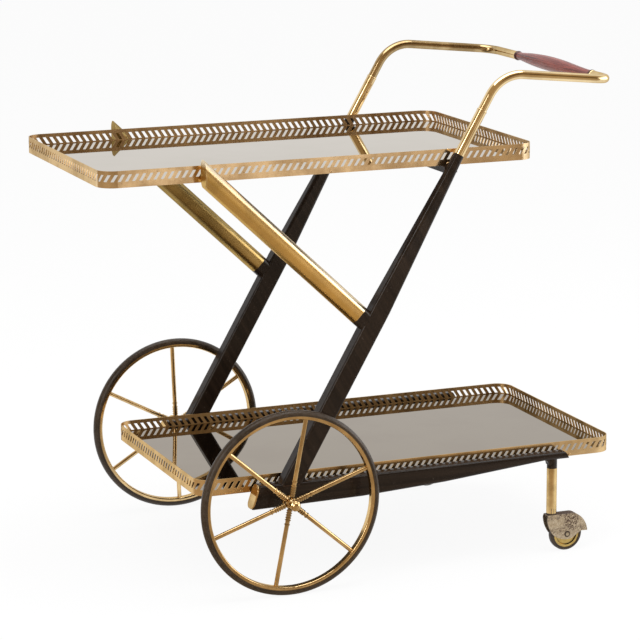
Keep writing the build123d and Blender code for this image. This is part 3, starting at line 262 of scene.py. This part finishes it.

# %% [markdown]
# Rubbed corners: the Bevel node rounds the normals near a corner, so the more that a rounded normal
# leaves the true one, the nearer the corner is. Noise breaks the rubbed line up, because hands and
# cloths never rub all of an edge alike. On brass the same mask also paints a highlight along the top
# edges, so there it is partly wear and partly painted highlight.

# %% Group: rubbed corners and painted highlight
corner_wear_and_sheen, knob, result = new_group(
    "corner_wear_and_sheen",
    [("Place", "Vector", None), ("Radius", "Float", 0.001), ("Break Up", "Float", 0.5)],
    ["Rubbed"])
rounded = add(corner_wear_and_sheen, "Bevel", {"samples": 6}, Radius=knob["Radius"]).outputs[0]
true_normal = add(corner_wear_and_sheen, "NewGeometry").outputs["Normal"]
near = spread(corner_wear_and_sheen, dot(corner_wear_and_sheen, rounded, true_normal), 0.995, 0.86)
patchy = spread(corner_wear_and_sheen, noise(corner_wear_and_sheen, knob["Place"], 160.0), 0.36, 0.62)
bare = maths(corner_wear_and_sheen, "SUBTRACT", 1.0, patchy)
kept = maths(corner_wear_and_sheen, "SUBTRACT", 1.0,
             maths(corner_wear_and_sheen, "MULTIPLY", knob["Break Up"], bare))
corner_wear_and_sheen.links.new(maths(corner_wear_and_sheen, "MULTIPLY", near, kept, True), result["Rubbed"])
print("group:", corner_wear_and_sheen.name)

# %% [markdown]
# Tarnish: three sizes of noise. Clouds are wide soft patches, mottle is finer, and specks are the
# few highest peaks of a fine noise, which read as spots of corrosion.

# %% Group: tarnish
tarnish, knob, result = new_group(
    "tarnish",
    [("Place", "Vector", None), ("Cloud Scale", "Float", 22.0), ("Speck Scale", "Float", 420.0),
     ("Speck Level", "Float", 0.70)],
    ["Clouds", "Mottle", "Specks"])
clouds = noise(tarnish, knob["Place"], knob["Cloud Scale"], 4.0, 0.6)
tarnish.links.new(spread(tarnish, clouds, 0.36, 0.66), result["Clouds"])
finer = maths(tarnish, "MULTIPLY", knob["Cloud Scale"], 7.0)
mottle = noise(tarnish, knob["Place"], finer, 4.0, 0.65)
tarnish.links.new(spread(tarnish, mottle, 0.38, 0.66), result["Mottle"])
specks = noise(tarnish, knob["Place"], knob["Speck Scale"], 2.0, 0.5)
gate = maths(tarnish, "ADD", knob["Speck Level"], maths(tarnish, "MULTIPLY", clouds, -0.10))
peaks = maths(tarnish, "SUBTRACT", specks, gate)
tarnish.links.new(spread(tarnish, peaks, 0.0, 0.05), result["Specks"])
print("group:", tarnish.name)

# %% [markdown]
# Grain: noise that is squeezed hard across one direction turns into lines. The same group draws the
# fine scratches of rubbed metal and the pores of wood, at different scales.

# %% Group: grain
grain, knob, result = new_group(
    "grain",
    [("Place", "Vector", None), ("Across", "Float", 900.0), ("Along", "Float", 12.0)],
    ["Lines", "Broad"])
squeeze = add(grain, "CombineXYZ", X=knob["Across"], Y=knob["Across"], Z=knob["Along"]).outputs[0]
stretched = add(grain, "VectorMath", {"operation": "MULTIPLY"}, i0=knob["Place"], i1=squeeze).outputs[0]
grain.links.new(noise(grain, stretched, 1.0, 3.0, 0.6), result["Lines"])
wide = add(grain, "VectorMath", {"operation": "SCALE"}, i0=stretched, Scale=0.16).outputs[0]
grain.links.new(noise(grain, wide, 1.0, 3.0, 0.6), result["Broad"])
print("group:", grain.name)

# %% [markdown]
# Dirt and painted shade in hollows: the Ambient Occlusion node looks a few millimetres around a point
# and says how much of that is blocked. The darkening it drives is partly dirt and partly painted shade,
# as in the gaps between turned rings. Set to look only at its own object, it doesn't change when the
# cart's parts move.

# %% Group: dirt and painted shade in hollows
hollow_dirt_and_shade, knob, result = new_group("dirt_and_shade_in_hollows", [("Reach", "Float", 0.004)], ["Dirt"])
around = add(hollow_dirt_and_shade, "AmbientOcclusion", {"samples": 6, "only_local": True}, Distance=knob["Reach"])
hollow_dirt_and_shade.links.new(spread(hollow_dirt_and_shade, around.outputs["AO"], 0.94, 0.56), result["Dirt"])
print("group:", hollow_dirt_and_shade.name)

# %% [markdown]
# ## Helpers for finishes
#
# Every finish starts as one Principled shader. Its colours are easiest to judge as the numbers from 0
# to 255 that a screen uses, so a function turns those into the linear values that Blender needs. The
# grain runs along the Z of a place, so each finish may turn its place until that is the right way.

# %% Helpers for finishes
def srgb(red, green, blue):
    def line(c):
        c = c / 255
        return c / 12.92 if c <= 0.04045 else ((c + 0.055) / 1.055) ** 2.4
    return line(red), line(green), line(blue), 1.0


def start_material(name):
    made = bpy.data.materials.new(name)
    made.use_nodes = True
    tree = made.node_tree
    tree.nodes.clear()
    shader = add(tree, "BsdfPrincipled")
    tree.links.new(shader.outputs[0], add(tree, "OutputMaterial").inputs["Surface"])
    return made, tree, shader


def own_place(tree, turn=(0.0, 0.0, 0.0)):
    return add(tree, "Mapping", Vector=object_place(tree), Rotation=turn).outputs[0]


def emboss(tree, shader, height):
    bump = add(tree, "Bump", Strength=1.0, Distance=1.0, Height=height)
    plug_in(tree, shader, Normal=bump.outputs[0])


print("helpers for finishes are ready")

# %% [markdown]
# ## Aged brass
#
# The brass is old and only lightly polished: honey in the open, browner where it has tarnished, pale
# on rubbed corners, partly as worn metal and partly as a painted highlight. The inner faces of the
# galleries are browner as painted shade, for the dark that they mirror, except for a paler patch along
# the tray, which is a painted highlight: a face that looks towards the middle of its tray is an inner
# one. The struts are folded from sheet, and a pale band along their long upper edge is a painted
# highlight. Both are told by the place on the object, so nothing has to be painted by hand.

# %% Brass: places that differ
# The paler patch on the galleries' inner faces, a painted highlight, is centred at this X.
PALE_PATCH_X = -0.14
STRUT_ANGLE = math.radians(43.3)
STRUT_MIDDLE = 0.27041
STRUT_SLOPE = (math.sin(STRUT_ANGLE), 0, math.cos(STRUT_ANGLE))


# Inner faces of a gallery get browner as painted shade, less so near one place along the tray, which is
# a painted highlight.
def gallery_inner_shade(tree, middle):
    spot = add(tree, "TexCoord").outputs
    out = add(tree, "VectorMath", {"operation": "SUBTRACT"}, i0=spot["Object"], i1=middle).outputs[0]
    inner = spread(tree, dot(tree, out, spot["Normal"]), 0.02, -0.02)
    aside = maths(tree, "SUBTRACT", part_of(tree, spot["Object"], "X"), PALE_PATCH_X)
    inner_shade = spread(tree, maths(tree, "ABSOLUTE", aside), 0.10, 0.24, 0.05, 0.5)
    return inner, inner_shade


def across_strut(tree):
    return maths(tree, "SUBTRACT", dot(tree, object_place(tree), STRUT_SLOPE), STRUT_MIDDLE)


print("struts lean", round(math.degrees(STRUT_ANGLE), 1), "degrees")

# %% [markdown]
# One function mixes all brass, and each kind of part gets its own values, because the thin gallery
# strip, the folded struts and the drawn tubes have not aged alike, and some of the values paint shade
# and highlights as well. The sides of the struts are a little crowned: a height that falls with the
# square of the distance from the middle line bends the reflection as the pressed sheet does. All other
# relief is in the bump too, since dents and scratches this shallow would take far too many faces as
# real shape.

# %% Finish: aged brass
# Colour of the specks and of the darkening in hollows, which is partly dirt and partly painted shade.
BRASS_DIRT_AND_SHADE = srgb(58, 38, 18)
BRASS_EDGE_TINT = (0.70, 0.60, 0.46, 1.0)
SCRATCH_HEIGHT = 0.000004
SPOT_DEPTH = 0.00001
# Where the band along the struts' upper edge starts and ends; the band is a painted highlight.
HIGHLIGHT_FROM, HIGHLIGHT_TO = 0.004, 0.012


def brass(name, pale, honey, brown, roughness, turn=(0.0, 0.0, 0.0), corner=0.0008, clouds=0.5,
          specks=0.3, dirt_and_shade=0.0, reach=0.004, waves=0.0, ripple=22.0, darkening=None, axis="Z",
          middle=None, crown=None, painted_highlight=0.8):
    made, tree, shader = start_material(name)
    place = own_place(tree, turn)
    age = use_group(tree, tarnish, Place=place)
    lines = use_group(tree, grain, Place=place)
    corner_mask = use_group(tree, corner_wear_and_sheen, Place=place, Radius=corner)["Rubbed"]
    tarnish_and_shade = maths(tree, "MULTIPLY", age["Clouds"], clouds)
    rough = roughness
    # Darker towards one end along an axis; on the struts this is painted shade for the dark that their
    # upper ends mirror.
    if darkening:
        start, end, most = darkening
        darker_end = spread(tree, part_of(tree, object_place(tree), axis), start, end, 0.0, most)
        tarnish_and_shade = maths(tree, "ADD", tarnish_and_shade, darker_end, True)
    if middle:
        # Painted shade on the galleries' inner faces, with a paler painted highlight patch.
        inner, inner_shade = gallery_inner_shade(tree, middle)
        tarnish_and_shade = maths(tree, "ADD", tarnish_and_shade, maths(tree, "MULTIPLY", inner, inner_shade), True)
        rough = maths(tree, "ADD", rough, maths(tree, "MULTIPLY", inner, 0.16))
    colour = blend(tree, tarnish_and_shade, honey, brown)
    colour = blend(tree, maths(tree, "MULTIPLY", age["Mottle"], 0.14 * clouds), colour, brown)
    colour = blend(tree, spread(tree, lines["Broad"], 0.35, 0.75, 0.0, 0.12), colour, pale)
    # On brass the pale corners are partly wear and partly a painted highlight along the top edges.
    colour = blend(tree, maths(tree, "MULTIPLY", corner_mask, 0.6), colour, pale)
    # Painted highlight: the band along the strut's upper edge is mixed towards pale.
    if crown:
        across = across_strut(tree)
        edge = spread(tree, across, HIGHLIGHT_FROM, HIGHLIGHT_TO, 0.0, painted_highlight)
        colour = blend(tree, edge, colour, pale)
    spots_dirt_and_shade = maths(tree, "MULTIPLY", age["Specks"], specks)
    # Darkening in hollows, partly dirt and partly painted shade, is merged with the specks.
    if dirt_and_shade:
        hollow_darkening = use_group(tree, hollow_dirt_and_shade, Reach=reach)["Dirt"]
        spots_dirt_and_shade = maths(tree, "MAXIMUM", spots_dirt_and_shade, maths(tree, "MULTIPLY", hollow_darkening, dirt_and_shade))
    rough = maths(tree, "ADD", rough, maths(tree, "MULTIPLY", tarnish_and_shade, 0.10))
    rough = maths(tree, "ADD", rough, maths(tree, "MULTIPLY", spots_dirt_and_shade, 0.30))
    height = maths(tree, "MULTIPLY", lines["Lines"], SCRATCH_HEIGHT)
    height = maths(tree, "SUBTRACT", height, maths(tree, "MULTIPLY", spots_dirt_and_shade, SPOT_DEPTH))
    if waves:
        slow = noise(tree, place, ripple, 1.0, 0.4)
        height = maths(tree, "ADD", height, maths(tree, "MULTIPLY", slow, waves))
    if crown:
        bulge = maths(tree, "MULTIPLY", maths(tree, "MULTIPLY", across, across), crown)
        height = maths(tree, "SUBTRACT", height, bulge)
    emboss(tree, shader, height)
    plug_in(tree, shader, Base_Color=blend(tree, spots_dirt_and_shade, colour, BRASS_DIRT_AND_SHADE), Roughness=rough,
            Metallic=1.0, Specular_Tint=BRASS_EDGE_TINT)
    return made


print("the recipe for brass is ready")

# %% [markdown]
# The galleries are thin strip with slots punched through. They take clouds, darkening in the slots
# that is partly dirt and partly painted shade, and slow waves, because strip this thin is never flat.
# The waves break up what it mirrors.

# %% Brass: galleries
GALLERY = dict(roughness=0.17, corner=0.0006, clouds=0.45, specks=0.3, dirt_and_shade=0.5, waves=0.00016)
upper_gallery = brass("upper_gallery_brass", srgb(252, 236, 200), srgb(240, 212, 170),
                      srgb(140, 108, 70), middle=(-0.068, 0.0, 0.6), **GALLERY)
lower_gallery = brass("lower_gallery_brass", srgb(250, 230, 188), srgb(236, 202, 150),
                      srgb(124, 96, 58), middle=(0.068, 0.0, 0.14), **GALLERY)
print("gallery brass: 2 finishes")

# %% [markdown]
# Both struts are satin and browner towards their upper ends: painted shade for the dark that their
# upper ends mirror. The far one is a darker copy, painted shade for the shade under the upper tray and
# the dark parts that it mirrors, with hardly any of the painted highlight, so it has a finish of its
# own.

# %% Brass: struts
STRUT = dict(turn=(0, math.pi / 2 - STRUT_ANGLE, 0), specks=0.08, waves=0.0001, crown=14.0)
near_strut = brass("near_strut_brass", srgb(255, 244, 222), srgb(250, 207, 124),
                   srgb(150, 126, 72), 0.25, clouds=0.25, darkening=(0.40, 0.60, 0.30), **STRUT)
# The far strut is a darker copy of the brass: painted shade.
shaded_far_strut = brass("far_strut_brass_shaded", srgb(236, 216, 166), srgb(196, 166, 104),
                  srgb(112, 92, 50), 0.30, clouds=0.4, darkening=(0.36, 0.56, 0.50), painted_highlight=0.1, **STRUT)
print("strut brass: 2 finishes")

# %% [markdown]
# The drawn tube of the handle is the smoothest brass, and browner along its far end. The wheels and
# the posts are darker in their turned grooves, partly dirt and partly painted shade. The caster wheels
# are the brownest, with a fine ripple that breaks their reflection into streaks.

# %% Brass: tubes, wheels, posts and casters
tube_brass = brass("tube_brass", srgb(252, 238, 200), srgb(244, 220, 173), srgb(150, 118, 74), 0.07,
                   clouds=0.35, specks=0.15)
far_tube = brass("far_tube_brass", srgb(250, 232, 190), srgb(234, 208, 160), srgb(118, 92, 56), 0.09,
                 clouds=0.4, specks=0.15, darkening=(0.165, 0.195, 0.42), axis="Y")
wheel_brass = brass("wheel_brass", srgb(252, 234, 190), srgb(234, 202, 148), srgb(132, 102, 62), 0.13,
                    corner=0.0004, clouds=0.5, dirt_and_shade=1.0, reach=0.0018)
post_brass = brass("post_brass", srgb(248, 226, 170), srgb(228, 196, 138), srgb(126, 98, 54), 0.12,
                   clouds=0.5, dirt_and_shade=0.9)
caster_brass = brass("caster_brass", srgb(240, 218, 160), srgb(190, 160, 92), srgb(70, 56, 24), 0.16,
                     clouds=1.0, dirt_and_shade=1.0, reach=0.003, waves=0.001, ripple=150.0)
print("other brass: 5 finishes")

# %% [markdown]
# ## Ebonised wood
#
# The beams and legs are hardwood, stained black-brown and lacquered satin. The stain hides the colour
# of the grain but not its pores, which show as fine lines where the light skims along. The lacquer has
# rubbed thin on the corners, where the brown wood comes through. On the faces that look towards -X the
# coat is thinner, so that side mirrors less light: this is painted shade on that side.
# Plain black would be simpler, but then the long flat sides would look like plastic.

# %% Finish: ebonised wood
LEG_LEAN = math.radians(30)
PORE_DEPTH = 0.00004
GRAIN_HEIGHT = 0.00012


def ebonised(name, turn):
    made, tree, shader = start_material(name)
    place = own_place(tree, turn)
    pores = use_group(tree, grain, Place=place, Across=620.0, Along=9.0)
    age = use_group(tree, tarnish, Place=place, Cloud_Scale=14.0, Speck_Scale=300.0, Speck_Level=0.74)
    corner_mask = use_group(tree, corner_wear_and_sheen, Place=place, Radius=0.0012)["Rubbed"]
    colour = blend(tree, spread(tree, pores["Broad"], 0.34, 0.70), srgb(27, 19, 14), srgb(42, 31, 23))
    colour = blend(tree, spread(tree, pores["Lines"], 0.58, 0.72, 0.0, 0.5), colour, srgb(15, 11, 8))
    colour = blend(tree, maths(tree, "MULTIPLY", corner_mask, 0.55), colour, srgb(82, 58, 42))
    colour = blend(tree, maths(tree, "MULTIPLY", age["Specks"], 0.5), colour, srgb(78, 68, 60))
    rough = maths(tree, "ADD", 0.34, maths(tree, "MULTIPLY", age["Clouds"], 0.10))
    rough = maths(tree, "ADD", rough, spread(tree, pores["Lines"], 0.55, 0.75, 0.0, 0.2))
    height = maths(tree, "MULTIPLY", spread(tree, pores["Lines"], 0.52, 0.75), -PORE_DEPTH)
    height = maths(tree, "ADD", height, maths(tree, "MULTIPLY", pores["Broad"], GRAIN_HEIGHT))
    emboss(tree, shader, height)
    # Painted shade: the coat is thinner on faces that look towards -X, so that side mirrors less light.
    facing = part_of(tree, add(tree, "TexCoord").outputs["Normal"], "X")
    coat_with_painted_shade = spread(tree, facing, -0.82, -0.60, 0.22, 0.55)
    plug_in(tree, shader, Base_Color=colour, Roughness=rough, Specular_IOR_Level=0.06,
            Coat_Weight=coat_with_painted_shade, Coat_IOR=1.4, Coat_Roughness=0.12)
    return made


leg_wood = ebonised("leg_wood", (0, LEG_LEAN, 0))
beam_wood = ebonised("beam_wood", (0, math.pi / 2, 0))
crossbar_wood = ebonised("crossbar_wood", (math.pi / 2, 0, 0))
print("ebonised wood: 3 directions of grain")

# %% [markdown]
# ## Dark glass
#
# The tray plates are dark glass. At this low angle they are mirrors more than windows. Clear black
# glass would mirror only a part of the light and leave them too dim, so the finish is a tinted
# mirror, and its tint sets how bright the reflection is. From high above, real black glass would be
# darker than this. A little haze in the roughness stands for years of wiping.

# %% Finish: dark glass
def smoked_glass(name, clear, hazy):
    made, tree, shader = start_material(name)
    place = own_place(tree)
    age = use_group(tree, tarnish, Place=place, Cloud_Scale=9.0, Speck_Scale=260.0, Speck_Level=0.78)
    tint = blend(tree, age["Clouds"], clear, hazy)
    tint = blend(tree, maths(tree, "MULTIPLY", age["Specks"], 0.5), tint, srgb(96, 88, 80))
    haze = maths(tree, "ADD", 0.015, maths(tree, "MULTIPLY", age["Mottle"], 0.02))
    plug_in(tree, shader, Base_Color=tint, Roughness=haze, Metallic=1.0)
    return made


upper_glass = smoked_glass("upper_glass", srgb(166, 154, 135), srgb(160, 148, 127))
# The lower plate's darker tint is painted shade: it mirrors the shaded underside of the upper tray.
shaded_lower_glass = smoked_glass("shaded_lower_glass", srgb(125, 111, 90), srgb(121, 106, 85))
print("glass: 2 tints")

# %% [markdown]
# ## Rubber
#
# The tyres are solid rubber, dusty and slightly brown with age. New rubber is nearly black and even,
# so the brown clouds and a fine rough bump are what make this one old.

# %% Finish: tyre rubber
RUBBER_BUMPS = 0.00006
RUBBER_PITS = 0.00008

tyre_rubber, tree, shader = start_material("tyre_rubber")
place = own_place(tree)
age = use_group(tree, tarnish, Place=place, Cloud_Scale=16.0, Speck_Scale=500.0, Speck_Level=0.70)
corner_mask = use_group(tree, corner_wear_and_sheen, Place=place, Radius=0.001)["Rubbed"]
colour = blend(tree, age["Clouds"], srgb(40, 29, 17), srgb(57, 43, 28))
colour = blend(tree, maths(tree, "MULTIPLY", age["Mottle"], 0.35), colour, srgb(76, 62, 48))
colour = blend(tree, maths(tree, "MULTIPLY", corner_mask, 0.35), colour, srgb(96, 80, 62))
height = maths(tree, "MULTIPLY", noise(tree, place, 1500.0, 2.0), RUBBER_BUMPS)
height = maths(tree, "SUBTRACT", height, maths(tree, "MULTIPLY", age["Specks"], RUBBER_PITS))
emboss(tree, shader, height)
plug_in(tree, shader, Base_Color=colour, Specular_IOR_Level=0.35,
        Roughness=spread(tree, age["Mottle"], 0.0, 1.0, 0.34, 0.50))
print("rubber is ready")

# %% [markdown]
# ## Turned wood
#
# The grip is turned from a red-brown hardwood and varnished. It has dried and cracked along the
# grain, and its ends are darker. The crack follows one line round the grip's axis, bent a little
# by the figure of the wood. Modelled as a cut it would be too thin to matter, so it is only a colour.

# %% Finish: grip wood
GRIP_AXIS_X, GRIP_AXIS_Z = 0.3815, 0.7136
GRIP_MIDDLE = -0.017
GRIP_HALF = 0.1265
CRACK_ANGLE, CRACK_START = 0.45, 0.02
CRACK_COLOUR = srgb(46, 22, 20)
OPEN_PORES = 0.00003


def crack_and_ends(tree, figure):
    spot = add(tree, "SeparateXYZ", Vector=object_place(tree)).outputs
    round_it = maths(tree, "ARCTAN2", maths(tree, "SUBTRACT", spot["Z"], GRIP_AXIS_Z),
                     maths(tree, "SUBTRACT", GRIP_AXIS_X, spot["X"]))
    drift = maths(tree, "MULTIPLY", maths(tree, "SUBTRACT", figure, 0.5), 0.5)
    off_line = maths(tree, "SUBTRACT", maths(tree, "ADD", round_it, drift), CRACK_ANGLE)
    crack = maths(tree, "MULTIPLY", spread(tree, maths(tree, "ABSOLUTE", off_line), 0.09, 0.03),
                  spread(tree, spot["Y"], CRACK_START, CRACK_START + 0.02))
    ends = maths(tree, "ABSOLUTE", maths(tree, "SUBTRACT", spot["Y"], GRIP_MIDDLE))
    ends = spread(tree, ends, GRIP_HALF - 0.009, GRIP_HALF - 0.003, 0.0, 0.8)
    return maths(tree, "MAXIMUM", crack, ends)


def turned_wood(name, dark, red, light, cracked=False):
    made, tree, shader = start_material(name)
    place = own_place(tree, (math.pi / 2, 0, 0))
    figure = use_group(tree, grain, Place=place, Across=340.0, Along=7.0)
    pores = use_group(tree, grain, Place=place, Across=1500.0, Along=26.0)
    corner_mask = use_group(tree, corner_wear_and_sheen, Place=place, Radius=0.001)["Rubbed"]
    colour = blend(tree, spread(tree, figure["Lines"], 0.34, 0.66), red, dark)
    colour = blend(tree, spread(tree, figure["Broad"], 0.40, 0.72, 0.0, 0.6), colour, light)
    colour = blend(tree, spread(tree, pores["Lines"], 0.58, 0.70, 0.0, 0.6), colour, dark)
    colour = blend(tree, maths(tree, "MULTIPLY", corner_mask, 0.4), colour, light)
    if cracked:
        colour = blend(tree, crack_and_ends(tree, figure["Broad"]), colour, CRACK_COLOUR)
    height = maths(tree, "MULTIPLY", spread(tree, pores["Lines"], 0.55, 0.72), -OPEN_PORES)
    emboss(tree, shader, height)
    plug_in(tree, shader, Base_Color=colour, Specular_IOR_Level=0.35, Coat_Weight=0.15,
            Coat_Roughness=0.18, Roughness=spread(tree, pores["Lines"], 0.4, 0.7, 0.30, 0.46))
    return made


grip_wood = turned_wood("grip_wood", srgb(84, 32, 28), srgb(138, 66, 56), srgb(170, 98, 84),
                        cracked=True)
dowel_wood = turned_wood("dowel_wood", srgb(150, 112, 72), srgb(190, 152, 104), srgb(208, 174, 128))
print("turned wood: 2 finishes")

# %% [markdown]
# ## Worn nickel
#
# The caster hoods are nickel plate on steel, and rust has pitted them. The pits are noise cut off
# sharply, and they thin out low down, where the hood is cleaner. The faces that don't look sideways
# are rusted nearly all over. Their mask is taken from the scene's normals and not the hood's own, so
# it is right at rest, but a hood that swivels a quarter turn shows rust on its flat sides.

# %% Finish: worn nickel
CASTER_STEM_X = 0.293
CASTER_TRAIL = 0.0235
CASTER_AXLE_Z = 0.026
NICKEL_RUST = srgb(72, 49, 37)
PIT_DEPTH = 0.00006


def from_rivet(tree):
    place = add(tree, "SeparateXYZ", Vector=object_place(tree)).outputs
    trail = maths(tree, "ABSOLUTE", maths(tree, "SUBTRACT", place["X"], CASTER_STEM_X))
    flat = add(tree, "CombineXYZ", X=maths(tree, "SUBTRACT", trail, CASTER_TRAIL), Y=0.0,
               Z=maths(tree, "SUBTRACT", place["Z"], CASTER_AXLE_Z)).outputs[0]
    return add(tree, "VectorMath", {"operation": "LENGTH"}, i0=flat).outputs["Value"]


worn_nickel, tree, shader = start_material("worn_nickel")
place = own_place(tree)
age = use_group(tree, tarnish, Place=place, Cloud_Scale=42.0, Speck_Scale=620.0, Speck_Level=0.66)
sideways = part_of(tree, add(tree, "NewGeometry").outputs["Normal"], "Y")
topside = spread(tree, maths(tree, "ABSOLUTE", sideways), 0.80, 0.45)
higher_up = spread(tree, part_of(tree, object_place(tree), "Z"), 0.024, 0.038, 0.15, 1.0)
crowded = maths(tree, "MULTIPLY", spread(tree, age["Clouds"], 0.15, 0.65), higher_up)
pits = spread(tree, noise(tree, place, 430.0, 4.0, 0.7), 0.46, 0.54)
rust = maths(tree, "MULTIPLY", pits, crowded)
rust = maths(tree, "MAXIMUM", rust, maths(tree, "MULTIPLY", age["Specks"], 0.7))
rust = maths(tree, "MAXIMUM", rust, maths(tree, "MULTIPLY", topside, 0.9))
rust = maths(tree, "MAXIMUM", rust, spread(tree, from_rivet(tree), 0.0056, 0.0044))
corner_mask = use_group(tree, corner_wear_and_sheen, Place=place, Radius=0.0008)["Rubbed"]
colour = blend(tree, age["Mottle"], srgb(194, 178, 152), srgb(170, 151, 124))
colour = blend(tree, rust, colour, NICKEL_RUST)
colour = blend(tree, maths(tree, "MULTIPLY", corner_mask, 0.5), colour, srgb(224, 212, 192))
emboss(tree, shader, maths(tree, "MULTIPLY", rust, -PIT_DEPTH))
plug_in(tree, shader, Base_Color=colour, Metallic=spread(tree, rust, 0.0, 1.0, 0.95, 0.35),
        Roughness=spread(tree, rust, 0.0, 1.0, 0.32, 0.60))
print("nickel is ready")

# %% [markdown]
# The rivet that each caster wheel rolls on is steel with a domed head, bright in the middle and darker
# and duller round the rim. One distance from the rivet's axis draws this, and also the dark ring on the
# hood.

# %% Finish: rivet steel
rivet_steel, tree, shader = start_material("rivet_steel")
age = use_group(tree, tarnish, Place=own_place(tree), Cloud_Scale=90.0)
rim = maths(tree, "MULTIPLY", spread(tree, from_rivet(tree), 0.0020, 0.0034), 0.9)
colour = blend(tree, age["Clouds"], srgb(190, 174, 146), srgb(150, 132, 106))
plug_in(tree, shader, Base_Color=blend(tree, rim, colour, srgb(44, 33, 26)),
        Metallic=spread(tree, rim, 0.0, 1.0, 0.95, 0.4),
        Roughness=spread(tree, rim, 0.0, 1.0, 0.30, 0.60))
print("rivets are ready")

# %% [markdown]
# ## Steel and board
#
# Screws, nuts, axles and stems are plain steel, a little spotted. The boards under the glass are
# plywood painted brown-black, and the ply shows through as faint lines. Little of either is seen, so
# both stay simple.

# %% Finish: steel
steel, tree, shader = start_material("bright_steel")
age = use_group(tree, tarnish, Place=own_place(tree), Cloud_Scale=70.0)
colour = blend(tree, age["Clouds"], srgb(168, 160, 150), srgb(118, 106, 94))
colour = blend(tree, maths(tree, "MULTIPLY", age["Specks"], 0.7), colour, srgb(86, 56, 36))
plug_in(tree, shader, Base_Color=colour, Metallic=1.0,
        Roughness=spread(tree, age["Mottle"], 0.0, 1.0, 0.28, 0.5))
print("steel is ready")

# %% Finish: tray board
PLY_HEIGHT = 0.00008

tray_board, tree, shader = start_material("tray_board")
place = own_place(tree, (0, math.pi / 2, 0))
plies = use_group(tree, grain, Place=place, Across=260.0, Along=5.0)
age = use_group(tree, tarnish, Place=place, Cloud_Scale=12.0)
colour = blend(tree, spread(tree, plies["Lines"], 0.35, 0.68), srgb(62, 47, 37), srgb(40, 30, 25))
colour = blend(tree, maths(tree, "MULTIPLY", age["Clouds"], 0.4), colour, srgb(78, 62, 50))
emboss(tree, shader, maths(tree, "MULTIPLY", plies["Lines"], PLY_HEIGHT))
plug_in(tree, shader, Base_Color=colour, Roughness=spread(tree, age["Mottle"], 0.0, 1.0, 0.5, 0.68))
print("board is ready")

# %% [markdown]
# ## Dress the frame
#
# Every node already has its true shape, so it keeps it and only gets its finish. The first words of a
# node's name say what it is, so a short table covers both sides of the cart. The longest words that
# fit win, which is how the far strut, darkened as painted shade, and the far tube, browner along its
# far end, get their own.

# %% Dress the frame
FINISH_OF = {
    "upper_tray_gallery": upper_gallery, "lower_tray_gallery": lower_gallery,
    "upper_gallery_screws": upper_gallery, "lower_gallery_screws": lower_gallery,
    "upper_tray_board": tray_board, "lower_tray_board": tray_board,
    "upper_tray_glass": upper_glass, "lower_tray_glass": shaded_lower_glass,
    "upper_tray_screws": steel, "lower_tray_screws": steel,
    "upper_crossbar": crossbar_wood, "lower_crossbar": crossbar_wood,
    "crossbar_dowels": dowel_wood, "strut_lugs": near_strut,
    "strut_left": near_strut, "strut_cap_left": near_strut,
    "strut_right": shaded_far_strut, "strut_cap_right": shaded_far_strut,
    "axle_nuts": steel, "axle_caps": wheel_brass, "axle": steel,
    "handle_grip": grip_wood, "grip_rod": steel, "grip_collar": tube_brass,
    "handle_tube": tube_brass, "handle_tube_right": far_tube, "handle_sleeve": tube_brass,
    "leg": leg_wood, "beam_end_plate": wheel_brass, "beam": beam_wood,
    "wheel_tyre": tyre_rubber, "caster_tyre": tyre_rubber, "wheel": wheel_brass,
    "caster_hood": worn_nickel, "caster_wheel": caster_brass, "caster_pin": rivet_steel,
    "caster_stem": steel, "caster_socket": steel, "caster_post": post_brass,
}


def finish_for(name):
    words = max((key for key in FINISH_OF if name.startswith(key)), key=len)
    return FINISH_OF[words]


for name, part in nodes.items():
    for slot in part.material_slots:
        slot.material = finish_for(name)
print("dressed:", len(nodes), "nodes")
